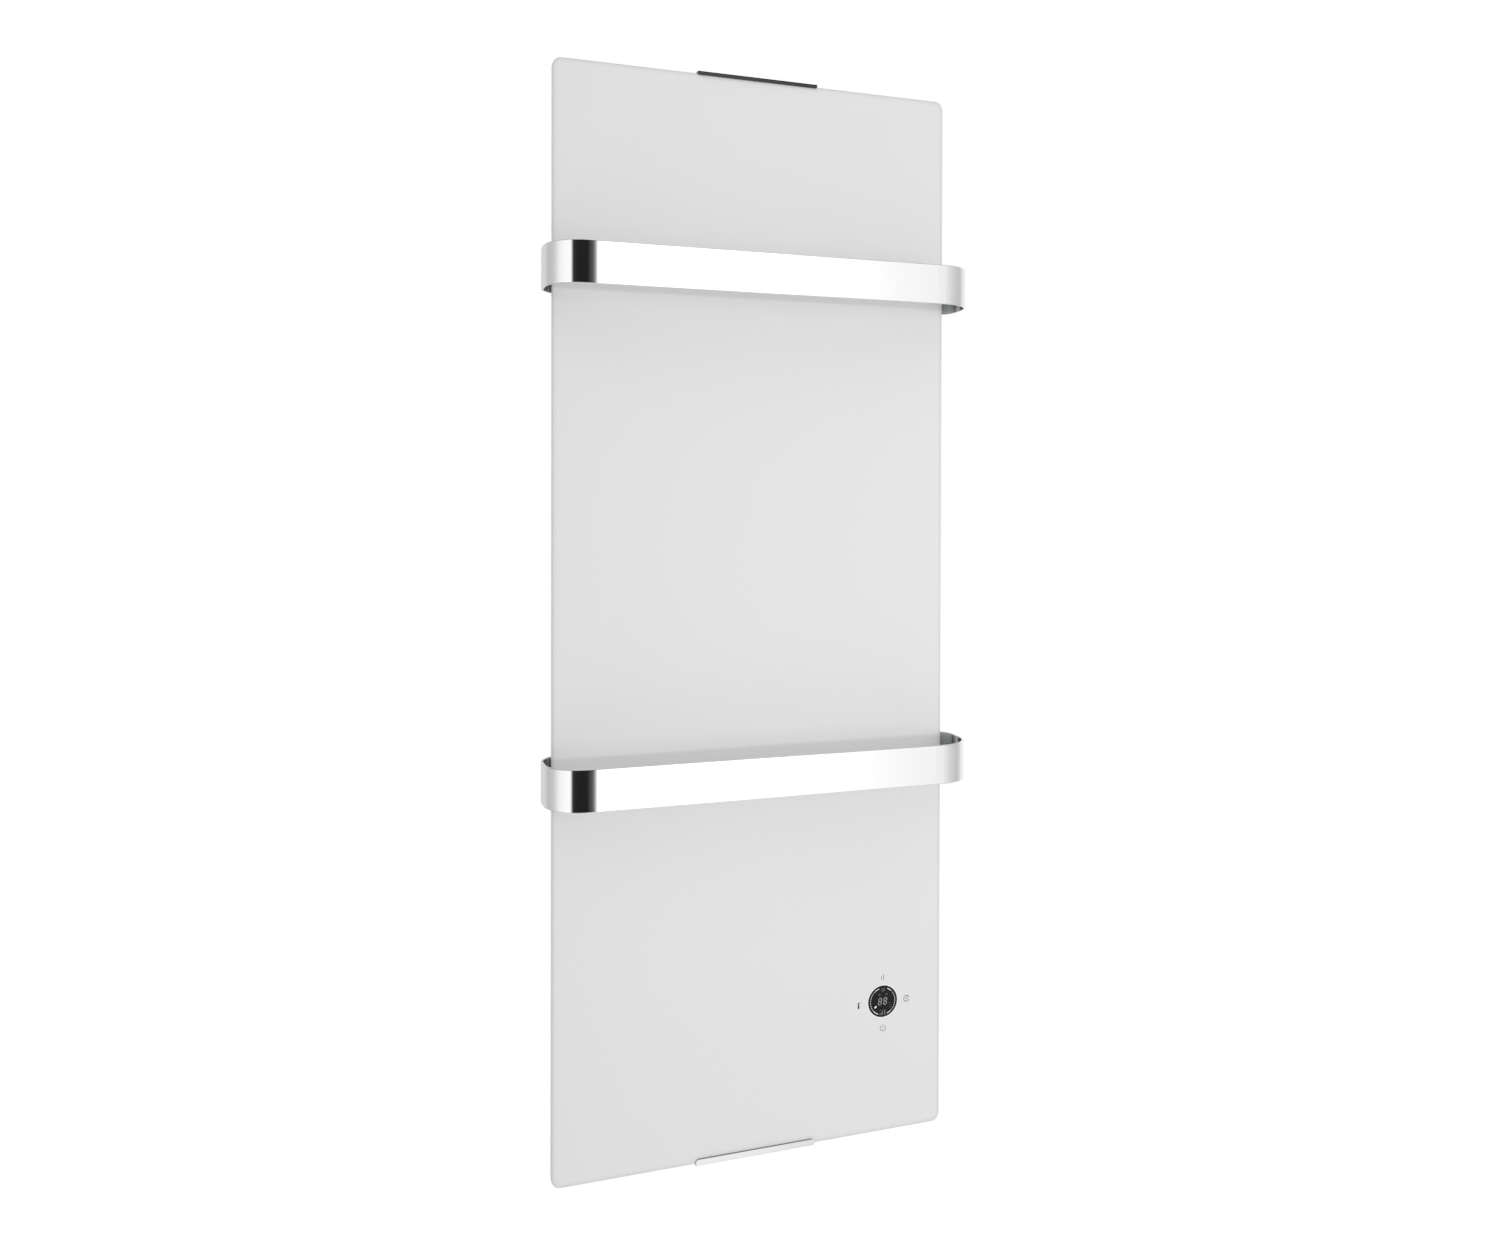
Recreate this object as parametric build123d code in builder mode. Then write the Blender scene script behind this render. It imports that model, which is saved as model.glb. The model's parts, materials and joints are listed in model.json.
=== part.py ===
from build123d import *
import os
from math import cos, radians, sin, tan

os.makedirs("parts", exist_ok=True)

# Glass convector heater that hangs on a wall, with two towel rails in front of it.
# X runs to the right, Y runs into the wall, Z runs up. The origin lies on the wall plane, in the
# middle of the four wall screws. A "depth" below is a distance in front of the wall.

# Glass panel
glass_width = 400.0
glass_height = 1050.0
glass_thickness = 6.0
glass_corner = 9.0
glass_arris = 0.7
wall_to_glass_face = 62.0

# Sheet metal behind the glass
tape_thickness = 1.0
tape_width = 14.0
tape_inset = 2.0
chassis_thickness = 1.2
chassis_side_inset = 12.0
chassis_end_inset = 19.0
chassis_corner = 6.0
cover_gap = 12.0
cover_sheet = 1.0
cover_side_inset = 22.0
cover_end_inset = 29.0
cover_corner = 8.0
cover_flange = 9.0
cover_back_round = 2.5

# Towel rails
rail_height = 38.0
rail_sheet = 2.0
rail_depth = 70.0
rail_to_glass = 55.0
rail_overhang = 11.0
rail_front_bend = 35.0
rail_rear_bend = 24.0
rail_tab = 41.0
rail_edge_round = 0.5
upper_rail_below_top = 197.5
lower_rail_above_bottom = 382.5
rail_screw_size = 5.0
rail_screw_spacing = 20.0
rail_screw_margin = 9.0
rail_standoff_across = 9.0
rail_slot_clearance = 0.8

# Clips over the glass edges
clip_width = 122.0
clip_sheet = 1.2
clip_bend = 0.6
clip_tab_height = 8.0
clip_screw_spacing = 96.0
liner_thickness = 0.5
liner_reach = 0.4
upper_clip_gap = 1.0
upper_clip_cover = 1.2
upper_clip_round = 0.9
lower_clip_cover = 4.4
lower_clip_round = 3.0

# Cover fasteners and air slots
cover_screw_size = 4.0
cover_screw_rows = 6
cover_screw_end_margin = 46.0
air_slot_width = 4.0
air_slot_length = 26.0
air_slot_pitch = 9.0
top_air_slots = 33
bottom_air_slots = 15
bottom_air_slot_from_side = 85.0
back_vent_length = 44.0
back_vent_pitch_x = 62.0
back_vent_pitch_z = 12.0
back_vent_columns = 4
back_vent_rows = 4
back_vent_below_top = 85.0

# Wall brackets
bracket_width = 240.0
bracket_leaf = 40.0
bracket_sheet = 2.0
bracket_corner = 4.0
wall_hole_radius = 3.0
wall_hole_spacing_x = 200.0
wall_hole_spacing_z = 560.0
hook_spacing = 160.0
hook_width = 20.0
hook_lip = 10.0
hook_play = 0.5
hook_side_play = 1.0
hang_gap = 0.3
lower_hang_gap = 2.0
hook_slot_height = 17.0
bumper_radius = 10.0
bumper_from_side = 58.0
bumper_above_bottom = 71.0
bumper_screw_size = 4.0

# Heating elements
lower_element_above_bottom = 220.0
element_spacing = 275.0
element_depth = 36.0
fin_end_gap = 28.0
fin_wing = 32.0
fin_sheet = 1.8
fin_angle = 24.0
fin_hub_radius = 8.0
fin_slit_width = 4.0
fin_slit_pitch = 12.5
fin_slit_inset = 12.0
rod_radius = 4.0
rod_side_gap = 24.0
rod_pin_radius = 1.5
rod_pin_length = 9.0
bush_radius = 8.0
bush_collar_radius = 10.0
bush_length = 6.0
bush_collar_length = 2.0
bracket_bore_play = 0.1
element_bracket_inset = 15.0
element_bracket_width = 28.0
element_bracket_foot = 16.0
small_bracket_sheet = 1.5
small_screw_size = 3.0

# Reflector between the elements and the back cover
reflector_side_gap = 11.0
reflector_sheet = 0.6
reflector_depth = 17.6
reflector_margin = 70.0
reflector_post_inset = 8.0
reflector_post_across = 7.0
reflector_lip = 6.0

# Overheat cut-out on its bracket above the upper element
cutout_x = 60.0
cutout_above_element = 66.0
cutout_can_radius = 8.0
cutout_flange_radius = 11.0
cutout_flange_sheet = 1.2
cutout_height = 9.0
cutout_bracket_width = 26.0
cutout_bracket_height = 14.0

# Touch control behind the glass
display_from_side = 64.0
display_above_bottom = 132.0
display_radius = 16.0
touch_reach = 26.5
touch_pad_radius = 4.0
touch_board_width = 70.0
touch_board_height = 76.0
touch_board_thickness = 1.6
touch_board_to_glass = 4.4
display_lens_thickness = 1.0
control_box_wall = 2.0
control_box_play = 0.6
control_box_depth = 18.0
control_post_radius = 3.2
control_ear = 9.0

# Power board and what is on it
power_board_from_side = 92.0
power_board_above_bottom = 70.0
power_board_width = 110.0
power_board_height = 70.0
power_board_thickness = 1.6
board_post_height = 6.0
board_post_radius = 3.0
board_screw_margin = 5.0
relay_size = (20.0, 15.0, 16.0)
transformer_size = (22.0, 20.0, 18.0)
capacitor_size = (18.0, 8.0, 12.0)
connector_size = (12.0, 9.0, 10.0)

# Mains entry: terminal block, earth stud, cord gland
terminal_x = 15.0
terminal_above_bottom = 55.0
terminal_width = 34.0
terminal_height = 22.0
terminal_depth = 15.0
terminal_pitch = 10.0
terminal_screw_size = 3.0
earth_x = 55.0
earth_above_bottom = 45.0
earth_size = 4.0
gland_depth = 33.0
gland_bore_radius = 4.0
gland_thread_radius = 6.0
gland_flange_radius = 9.0
gland_flange_height = 5.0
gland_inside_length = 12.0
gland_nut_across = 17.0
gland_nut_height = 5.0
gland_play = 0.2

# Rocker power switch in the right wall of the cover
switch_above_bottom = 33.0
switch_depth = 33.0
switch_bezel_length = 24.0
switch_bezel_width = 16.5
switch_bezel_height = 2.0
switch_body_length = 21.0
switch_body_width = 13.4
switch_body_depth = 19.0
switch_wall = 1.2
switch_cavity_depth = 12.5
switch_play = 0.2
rocker_throw = 11.0
rocker_side_play = 0.2
rocker_end_play = 0.35
rocker_valley = 2.2
rocker_pivot_below_bezel = 2.4
rocker_pin_radius = 1.2
rocker_pin_play = 0.05
rocker_pin_length = 0.9
spade_sheet = 0.8
spade_width = 6.3
spade_length = 8.0
spade_spacing = 12.0

# Room sensor at the bottom left
sensor_from_side = 27.0
sensor_above_bottom = 21.0
sensor_radius = 2.5
sensor_length = 14.0

# Internal leads
lead_radius = 1.2
lead_bend = 6.0
lead_end_gap = 0.1
lead_run_depth = 24.0
lead_wall_gap = 5.8
lead_pair_gap = 4.0
thread_play = 0.05
hole_play = 0.3

# Depths that follow from the sizes above
glass_back = wall_to_glass_face - glass_thickness
chassis_face = glass_back - tape_thickness
chassis_back = chassis_face - chassis_thickness
cover_back = cover_gap
cover_inside = cover_back + cover_sheet
flange_back = chassis_back - cover_sheet
rail_front = wall_to_glass_face + rail_to_glass
rail_back = rail_front - rail_depth
rail_tab_face = rail_back + rail_sheet
rail_tab_centre = rail_back + rail_sheet / 2
rail_front_centre = rail_front - rail_sheet / 2

# Outlines that follow from the sizes above
chassis_width = glass_width - 2 * chassis_side_inset
chassis_height = glass_height - 2 * chassis_end_inset
cover_width = glass_width - 2 * cover_side_inset
cover_height = glass_height - 2 * cover_end_inset
cover_inner_x = cover_width / 2 - cover_sheet
cover_inner_z = cover_height / 2 - cover_sheet
rail_half = glass_width / 2 + rail_overhang
rail_front_x = rail_half - rail_front_bend
rail_rear_x = rail_half - rail_rear_bend
rail_side_x = rail_half - rail_sheet / 2
rail_tab_x = rail_rear_x - rail_tab
rail_screw_x = rail_tab_x + rail_screw_margin
cover_screw_row_pitch = (cover_height - 2 * cover_screw_end_margin) / (cover_screw_rows - 1)
bottom_air_slot_centre = -cover_inner_x + bottom_air_slot_from_side
back_vent_level = cover_inner_z - back_vent_below_top
bumper_x = cover_width / 2 - bumper_from_side
bumper_level = -cover_height / 2 + bumper_above_bottom
upper_rail_level = glass_height / 2 - upper_rail_below_top
lower_rail_level = -glass_height / 2 + lower_rail_above_bottom
rail_levels = {"upper": upper_rail_level, "lower": lower_rail_level}

# heating elements and reflector
lower_element_level = -cover_inner_z + lower_element_above_bottom
element_levels = {"lower": lower_element_level, "upper": lower_element_level + element_spacing}
rod_length = 2 * (cover_inner_x - rod_side_gap)
fin_length = rod_length - 2 * fin_end_gap
element_bracket_x = rod_length / 2 - element_bracket_inset
reflector_width = 2 * (cover_inner_x - reflector_side_gap)
reflector_post_x = reflector_width / 2 - reflector_post_inset

# places of the electrical parts
display_x = glass_width / 2 - display_from_side
display_level = -glass_height / 2 + display_above_bottom
power_board_x = -cover_inner_x + power_board_from_side
power_board_level = -cover_inner_z + power_board_above_bottom
terminal_level = -cover_inner_z + terminal_above_bottom
earth_level = -cover_inner_z + earth_above_bottom
switch_level = -cover_inner_z + switch_above_bottom
sensor_x = -cover_inner_x + sensor_from_side
sensor_level = -cover_inner_z + sensor_above_bottom
finished = []


def at_depth(depth):
    """Plane parallel to the wall; what is extruded from it grows towards the room."""
    return Plane.XZ.offset(depth)


def finish(builder, name):
    """Label a finished piece and write it to its own file."""
    builder.part.label = name
    export_step(builder.part, f"parts/{name}.step")
    finished.append(name)


def pan_screws(points, seat, reach, size):
    """Pan-head screws with their heads towards the wall, seated on the face at depth seat."""
    head_height = size * 0.6
    with BuildPart() as screws:
        with BuildSketch(at_depth(seat)):
            with Locations(*points):
                Circle(size / 2 - thread_play)
        extrude(amount=reach)
        with BuildSketch(at_depth(seat)):
            with Locations(*points):
                Circle(size * 0.95)
        extrude(amount=-head_height)
        fillet(screws.edges().filter_by(GeomType.CIRCLE).group_by(Axis.Y)[-1], size * 0.25)
        with BuildSketch(at_depth(seat - head_height)):
            with Locations(*points):
                Rectangle(size * 0.95, size * 0.2)
                Rectangle(size * 0.2, size * 0.95)
        extrude(amount=head_height * 0.5, mode=Mode.SUBTRACT)
    return screws


def hex_posts(points, low, high, across, bore_size):
    """Hexagonal threaded posts standing between two depths."""
    with BuildPart() as posts:
        with BuildSketch(at_depth(low)):
            with Locations(*points):
                RegularPolygon(across / 2, 6, major_radius=False)
                Circle(bore_size / 2, mode=Mode.SUBTRACT)
        extrude(amount=high - low)
    return posts


def block(centre_x, level, width, height, near, far, edge_round):
    """Moulded block with rounded upright edges between two depths."""
    with BuildPart() as body:
        with BuildSketch(at_depth(near)):
            with Locations((centre_x, level)):
                RectangleRounded(width, height, edge_round)
        extrude(amount=far - near)
    return body


def leads(routes):
    """Round leads, each along straight runs joined by tangent arcs; points are (x, depth, z)."""
    with BuildPart() as tubes:
        for points in routes:
            with BuildLine() as route:
                FilletPolyline(*[(x, -depth, z) for x, depth, z in points], radius=lead_bend)
            path = route.wire()
            with BuildSketch(Plane(origin=path @ 0, z_dir=path % 0)):
                Circle(lead_radius)
            sweep(path=path)
    return tubes


# Glass panel with a polished edge all round
with BuildPart() as glass_panel:
    with BuildSketch(at_depth(glass_back)):
        RectangleRounded(glass_width, glass_height, glass_corner)
    extrude(amount=glass_thickness)
    chamfer(glass_panel.faces().filter_by(Plane.XZ).edges(), glass_arris)
finish(glass_panel, "glass_panel")

# Fixing points, as (x, z)
rail_screw_points = []
for side in (-1, 1):
    for level in rail_levels.values():
        for step in (-0.5, 0.5):
            rail_screw_points.append((side * rail_screw_x, level + step * rail_screw_spacing))

flange_x = cover_width / 2 + cover_flange / 2
flange_z = cover_height / 2 + cover_flange / 2
cover_screw_points = []
for side in (-1, 1):
    for row in range(cover_screw_rows):
        screw_z = (row - (cover_screw_rows - 1) / 2) * cover_screw_row_pitch
        cover_screw_points.append((side * flange_x, screw_z))
corner_screw_x = cover_width / 2 - 2 * cover_flange
for end in (-1, 1):
    for side in (-1, 1):
        cover_screw_points.append((side * corner_screw_x, end * flange_z))
clip_screw_points = {
    "upper": [(-clip_screw_spacing / 2, flange_z), (clip_screw_spacing / 2, flange_z)],
    "lower": [(-clip_screw_spacing / 2, -flange_z), (clip_screw_spacing / 2, -flange_z)],
}

element_foot_points = []
for level in element_levels.values():
    for side in (-1, 1):
        foot_x = side * (element_bracket_x + element_bracket_foot / 2)
        element_foot_points.append((foot_x, level))

reflector_top = element_levels["upper"] + reflector_margin
reflector_bottom = element_levels["lower"] - reflector_margin
reflector_post_points = []
for side in (-1, 1):
    for post_z in (reflector_bottom + 2 * reflector_lip, reflector_top - 2 * reflector_lip):
        reflector_post_points.append((side * reflector_post_x, post_z))

board_post_points = []
for side in (-1, 1):
    for end in (-1, 1):
        post_x = power_board_x + side * (power_board_width / 2 - board_screw_margin)
        post_z = power_board_level + end * (power_board_height / 2 - board_screw_margin)
        board_post_points.append((post_x, post_z))

cutout_level = element_levels["upper"] + cutout_above_element
cutout_foot_points = [(cutout_x, cutout_level + cutout_bracket_width / 2 + 6)]

control_box_width = touch_board_width + 2 * control_box_play + 2 * control_box_wall
control_box_height = touch_board_height + 2 * control_box_play + 2 * control_box_wall
control_ear_z = control_box_height / 2 + control_ear / 2
control_ear_points = [
    (display_x, display_level - control_ear_z),
    (display_x, display_level + control_ear_z),
]

# Strips of bonding tape between the glass and the chassis
tape_side_x = chassis_width / 2 - tape_width / 2 - tape_inset
tape_end_z = chassis_height / 2 - tape_width / 2 - tape_inset
with BuildPart() as bonding_tape:
    with BuildSketch(at_depth(chassis_face)):
        with Locations((-tape_side_x, 0), (tape_side_x, 0)):
            Rectangle(tape_width, 2 * tape_end_z - 2 * tape_width)
        with Locations((0, -tape_end_z), (0, tape_end_z)):
            Rectangle(2 * tape_side_x, tape_width)
        with Locations(*cover_screw_points, *clip_screw_points["upper"], *clip_screw_points["lower"]):
            Circle(cover_screw_size / 2 + hole_play, mode=Mode.SUBTRACT)
    extrude(amount=tape_thickness)
finish(bonding_tape, "bonding_tape")

# Chassis plate behind the glass
with BuildPart() as chassis_plate:
    with BuildSketch(at_depth(chassis_back)):
        RectangleRounded(chassis_width, chassis_height, chassis_corner)
        with Locations((display_x, display_level)):
            Rectangle(touch_board_width - 4, touch_board_height - 4, mode=Mode.SUBTRACT)
        with Locations(*rail_screw_points):
            Circle(rail_screw_size / 2, mode=Mode.SUBTRACT)
        with Locations(*cover_screw_points, *clip_screw_points["upper"], *clip_screw_points["lower"]):
            Circle(cover_screw_size / 2, mode=Mode.SUBTRACT)
        with Locations(*element_foot_points, *reflector_post_points, *board_post_points):
            Circle(small_screw_size / 2, mode=Mode.SUBTRACT)
        with Locations(*cutout_foot_points, *control_ear_points):
            Circle(small_screw_size / 2, mode=Mode.SUBTRACT)
        with Locations((earth_x, earth_level)):
            Circle(earth_size / 2, mode=Mode.SUBTRACT)
    extrude(amount=chassis_thickness)
finish(chassis_plate, "chassis_plate")


def glass_clip(end, gap, cover, corner_round):
    """Sheet clip from the cover flange over the glass edge, and its soft liner; end is 1 or -1."""
    edge = glass_height / 2
    tab_back = flange_back - clip_sheet
    lip_back = wall_to_glass_face + liner_thickness
    lip_front = lip_back + clip_sheet
    turn = edge + gap + clip_sheet
    tab_foot = chassis_height / 2 - clip_tab_height
    lip_end = edge - cover
    outline = [
        (-tab_back, tab_foot),
        (-tab_back, turn),
        (-lip_front, turn),
        (-lip_front, lip_end),
        (-lip_back, lip_end),
        (-lip_back, turn - clip_sheet),
        (-flange_back, turn - clip_sheet),
        (-flange_back, tab_foot),
    ]
    liner_end = lip_end - liner_reach
    liner_outline = [
        (-glass_back, edge),
        (-glass_back, edge + gap),
        (-lip_back, edge + gap),
        (-lip_back, liner_end),
        (-wall_to_glass_face, liner_end),
        (-wall_to_glass_face, edge),
    ]
    with BuildPart() as clip:
        with BuildSketch(Plane.YZ):
            Polygon(*[(y, end * z) for y, z in outline])
        extrude(amount=clip_width / 2, both=True)
        bends = clip.edges().filter_by(Axis.X)
        outer_bends = bends.filter_by(lambda edge_line: abs(edge_line.center().Z) > turn - 0.01)
        fillet(outer_bends, clip_sheet)
        lip_corners = clip.edges().filter_by(Axis.Y)
        lip_corners = lip_corners.filter_by(lambda line: abs(abs(line.center().Z) - lip_end) < 0.01)
        fillet(lip_corners, corner_round)
        with BuildSketch(at_depth(tab_back)):
            with Locations(*[(x, end * flange_z) for x in (-clip_screw_spacing / 2, clip_screw_spacing / 2)]):
                Circle(cover_screw_size / 2)
        extrude(amount=clip_sheet, mode=Mode.SUBTRACT)
    with BuildPart() as liner:
        with BuildSketch(Plane.YZ):
            Polygon(*[(y, end * z) for y, z in liner_outline])
        extrude(amount=clip_width / 2 - liner_reach, both=True)
        liner_corners = liner.edges().filter_by(Axis.Y)
        liner_corners = liner_corners.filter_by(lambda line: abs(abs(line.center().Z) - liner_end) < 0.01)
        fillet(liner_corners, corner_round)
    return clip, liner


upper_glass_clip, upper_clip_liner = glass_clip(1, upper_clip_gap, upper_clip_cover, upper_clip_round)
lower_glass_clip, lower_clip_liner = glass_clip(-1, liner_thickness, lower_clip_cover, lower_clip_round)
finish(upper_glass_clip, "upper_glass_clip")
finish(upper_clip_liner, "upper_clip_liner")
finish(lower_glass_clip, "lower_glass_clip")
finish(lower_clip_liner, "lower_clip_liner")

clip_points = clip_screw_points["upper"] + clip_screw_points["lower"]
clip_screw_reach = clip_sheet + cover_sheet + chassis_thickness + tape_thickness / 2
clip_screws = pan_screws(clip_points, flange_back - clip_sheet, clip_screw_reach, cover_screw_size)
finish(clip_screws, "clip_screws")

cover_screw_reach = cover_sheet + chassis_thickness + tape_thickness / 2
cover_screws = pan_screws(cover_screw_points, flange_back, cover_screw_reach, cover_screw_size)
finish(cover_screws, "cover_screws")


def towel_rail(level):
    """Flat bar bent round the glass, open behind it, with a screwed tab at each end."""
    route = [
        (rail_tab_x, -rail_tab_centre),
        (rail_side_x, -rail_tab_centre),
        (rail_side_x, -rail_front_centre),
        (-rail_side_x, -rail_front_centre),
        (-rail_side_x, -rail_tab_centre),
        (-rail_tab_x, -rail_tab_centre),
    ]
    rear_bend = rail_rear_bend - rail_sheet / 2
    front_bend = rail_front_bend - rail_sheet / 2
    with BuildPart() as rail:
        with BuildSketch(Plane.XY.offset(level - rail_height / 2)):
            with BuildLine() as bar:
                FilletPolyline(*route, radius=[rear_bend, front_bend, front_bend, rear_bend])
                offset(amount=rail_sheet / 2, side=Side.BOTH)
            make_face()
        extrude(amount=rail_height)
        fillet(rail.faces().filter_by(Axis.Z).edges(), rail_edge_round)
        with BuildSketch(at_depth(rail_back)):
            for side in (-1, 1):
                for step in (-0.5, 0.5):
                    with Locations((side * rail_screw_x, level + step * rail_screw_spacing)):
                        Circle(rail_screw_size / 2 + hole_play)
        extrude(amount=rail_sheet, mode=Mode.SUBTRACT)
    return rail


for rail_name, rail_level in rail_levels.items():
    finish(towel_rail(rail_level), f"{rail_name}_towel_rail")

rail_standoffs = hex_posts(
    rail_screw_points, rail_tab_face, chassis_back, rail_standoff_across, rail_screw_size
)
finish(rail_standoffs, "rail_standoffs")
rail_screw_reach = chassis_face - rail_back
rail_screws = pan_screws(rail_screw_points, rail_back, rail_screw_reach, rail_screw_size)
finish(rail_screws, "rail_screws")

# Back cover: a pressed tray with a screwed flange, air slots and the slots it hangs by
upper_arm_top = wall_hole_spacing_z / 2 + bracket_leaf / 2
lower_arm_top = -wall_hole_spacing_z / 2 + bracket_leaf / 2
hook_slot_tops = (upper_arm_top + hang_gap, lower_arm_top + lower_hang_gap)
gland_x = terminal_x
slot_depth = (cover_inside + chassis_back) / 2
with BuildPart() as back_cover:
    with BuildSketch(at_depth(cover_back)):
        RectangleRounded(cover_width, cover_height, cover_corner)
    extrude(amount=chassis_back - cover_back)
    fillet(back_cover.faces().sort_by(Axis.Y)[-1].edges(), cover_back_round)
    with BuildSketch(at_depth(flange_back)):
        RectangleRounded(cover_width + 2 * cover_flange, cover_height + 2 * cover_flange, cover_corner)
    extrude(amount=cover_sheet)
    with BuildSketch(at_depth(cover_inside)):
        RectangleRounded(2 * cover_inner_x, 2 * cover_inner_z, cover_corner - cover_sheet)
    extrude(amount=chassis_back - cover_inside, mode=Mode.SUBTRACT)
    with BuildSketch(at_depth(flange_back)):
        with Locations(*cover_screw_points, *clip_screw_points["upper"], *clip_screw_points["lower"]):
            Circle(cover_screw_size / 2 + hole_play)
    extrude(amount=cover_sheet, mode=Mode.SUBTRACT)
    with BuildSketch(at_depth(cover_back)):
        for slot_top in hook_slot_tops:
            with Locations((-hook_spacing / 2, slot_top), (hook_spacing / 2, slot_top)):
                Rectangle(
                    hook_width + 2 * hook_side_play,
                    hook_slot_height,
                    align=(Align.CENTER, Align.MAX),
                )
        with Locations((0, back_vent_level), (0, -back_vent_level / 2)):
            with GridLocations(back_vent_pitch_x, back_vent_pitch_z, back_vent_columns, back_vent_rows):
                SlotOverall(back_vent_length, air_slot_width)
        with Locations((-bumper_x, bumper_level), (bumper_x, bumper_level)):
            Circle(bumper_screw_size / 2)
    extrude(amount=cover_sheet, mode=Mode.SUBTRACT)
    with BuildSketch(Plane.XY.offset(cover_inner_z)):
        with Locations((0, -slot_depth)):
            with GridLocations(air_slot_pitch, 1, top_air_slots, 1):
                SlotOverall(air_slot_length, air_slot_width, rotation=90)
    extrude(amount=cover_sheet, mode=Mode.SUBTRACT)
    with BuildSketch(Plane.XY.offset(-cover_height / 2)):
        with Locations((bottom_air_slot_centre, -slot_depth)):
            with GridLocations(air_slot_pitch, 1, bottom_air_slots, 1):
                SlotOverall(air_slot_length, air_slot_width, rotation=90)
        with Locations((gland_x, -gland_depth)):
            Circle(gland_thread_radius + gland_play)
    extrude(amount=cover_sheet, mode=Mode.SUBTRACT)
    with BuildSketch(Plane.YZ.offset(-cover_width / 2)):
        for rail_level in rail_levels.values():
            with Locations((-(rail_back + rail_tab_face) / 2, rail_level)):
                Rectangle(rail_sheet + 2 * rail_slot_clearance, rail_height + 2 * rail_slot_clearance)
    extrude(amount=cover_width, mode=Mode.SUBTRACT)
    with BuildSketch(Plane.YZ.offset(cover_inner_x)):
        with Locations((-switch_depth, switch_level)):
            Rectangle(switch_body_width + 2 * switch_play, switch_body_length + 2 * switch_play)
    extrude(amount=cover_sheet, mode=Mode.SUBTRACT)
finish(back_cover, "back_cover")


def wall_bracket(arm_top):
    """Steel strip for two wall screws, with two hooks bent forward at its top edge."""
    leaf_level = arm_top - bracket_leaf / 2
    lip_back = cover_inside + hook_play
    lip_front = lip_back + bracket_sheet
    hook_outline = [
        (-bracket_sheet, arm_top - bracket_sheet),
        (-lip_front, arm_top - bracket_sheet),
        (-lip_front, arm_top + hook_lip),
        (-lip_back, arm_top + hook_lip),
        (-lip_back, arm_top),
        (-bracket_sheet, arm_top),
    ]
    with BuildPart() as bracket:
        with BuildSketch(at_depth(0)):
            with Locations((0, leaf_level)):
                RectangleRounded(bracket_width, bracket_leaf, bracket_corner)
            with Locations((-wall_hole_spacing_x / 2, leaf_level), (wall_hole_spacing_x / 2, leaf_level)):
                Circle(wall_hole_radius, mode=Mode.SUBTRACT)
        extrude(amount=bracket_sheet)
        for hook_x in (-hook_spacing / 2, hook_spacing / 2):
            with BuildSketch(Plane.YZ.offset(hook_x - hook_width / 2)):
                Polygon(*hook_outline)
            extrude(amount=hook_width)
        bends = bracket.edges().filter_by(Axis.X)
        bends = bends.filter_by(lambda line: abs(line.center().Y + lip_front) < 0.01)
        fillet(bends.sort_by(Axis.Z)[:2], bracket_sheet * 0.9)
    return bracket


upper_wall_bracket = wall_bracket(upper_arm_top)
lower_wall_bracket = wall_bracket(lower_arm_top)
finish(upper_wall_bracket, "upper_wall_bracket")
finish(lower_wall_bracket, "lower_wall_bracket")

# Rubber bumpers that keep the lower end off the wall
with BuildPart() as wall_bumpers:
    with BuildSketch(at_depth(0)):
        with Locations((-bumper_x, bumper_level), (bumper_x, bumper_level)):
            Circle(bumper_radius)
            Circle(bumper_screw_size, mode=Mode.SUBTRACT)
    extrude(amount=cover_gap * 0.75)
    with BuildSketch(at_depth(cover_gap * 0.75)):
        with Locations((-bumper_x, bumper_level), (bumper_x, bumper_level)):
            Circle(bumper_radius)
            Circle(bumper_screw_size / 2, mode=Mode.SUBTRACT)
    extrude(amount=cover_gap * 0.25)
    fillet(wall_bumpers.edges().filter_by(GeomType.CIRCLE).group_by(Axis.Y)[-1].sort_by(SortBy.LENGTH)[-2:], 1.0)
finish(wall_bumpers, "wall_bumpers")
bumper_seat = cover_gap * 0.75
bumper_points = [(-bumper_x, bumper_level), (bumper_x, bumper_level)]
bumper_screws = pan_screws(bumper_points, bumper_seat, cover_gap - bumper_seat + 3 * cover_sheet, bumper_screw_size)
finish(bumper_screws, "bumper_screws")


def element_fins(level):
    """Aluminium hub with four slit wings in an X, running along the heater rod."""
    with BuildPart() as fins:
        with BuildSketch(Plane.YZ.offset(-fin_length / 2)):
            with Locations((-element_depth, level)):
                Circle(fin_hub_radius)
                for turn in (90 - fin_angle, 90 + fin_angle, 270 - fin_angle, 270 + fin_angle):
                    Rectangle(
                        fin_hub_radius + fin_wing,
                        fin_sheet,
                        rotation=turn,
                        align=(Align.MIN, Align.CENTER),
                    )
                Circle(rod_radius + hole_play / 2, mode=Mode.SUBTRACT)
        extrude(amount=fin_length)
        slit_count = int(fin_length / fin_slit_pitch) - 1
        with BuildSketch(Plane.XZ):
            for side in (-1, 1):
                with Locations((0, level + side * (fin_hub_radius + fin_slit_inset + fin_wing / 2))):
                    with GridLocations(fin_slit_pitch, 1, slit_count, 1):
                        Rectangle(fin_slit_width, fin_wing)
        extrude(amount=wall_to_glass_face, mode=Mode.SUBTRACT)
    return fins


def heater_rod(level):
    """Tubular heater with a terminal pin at each end."""
    with BuildPart() as rod:
        with BuildSketch(Plane.YZ.offset(-rod_length / 2)):
            with Locations((-element_depth, level)):
                Circle(rod_radius)
        extrude(amount=rod_length)
        with BuildSketch(Plane.YZ.offset(-rod_length / 2 - rod_pin_length)):
            with Locations((-element_depth, level)):
                Circle(rod_pin_radius)
        extrude(amount=rod_length + 2 * rod_pin_length)
    return rod


for element_name, level in element_levels.items():
    finish(element_fins(level), f"{element_name}_element_fins")
    finish(heater_rod(level), f"{element_name}_heater_rod")

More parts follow.
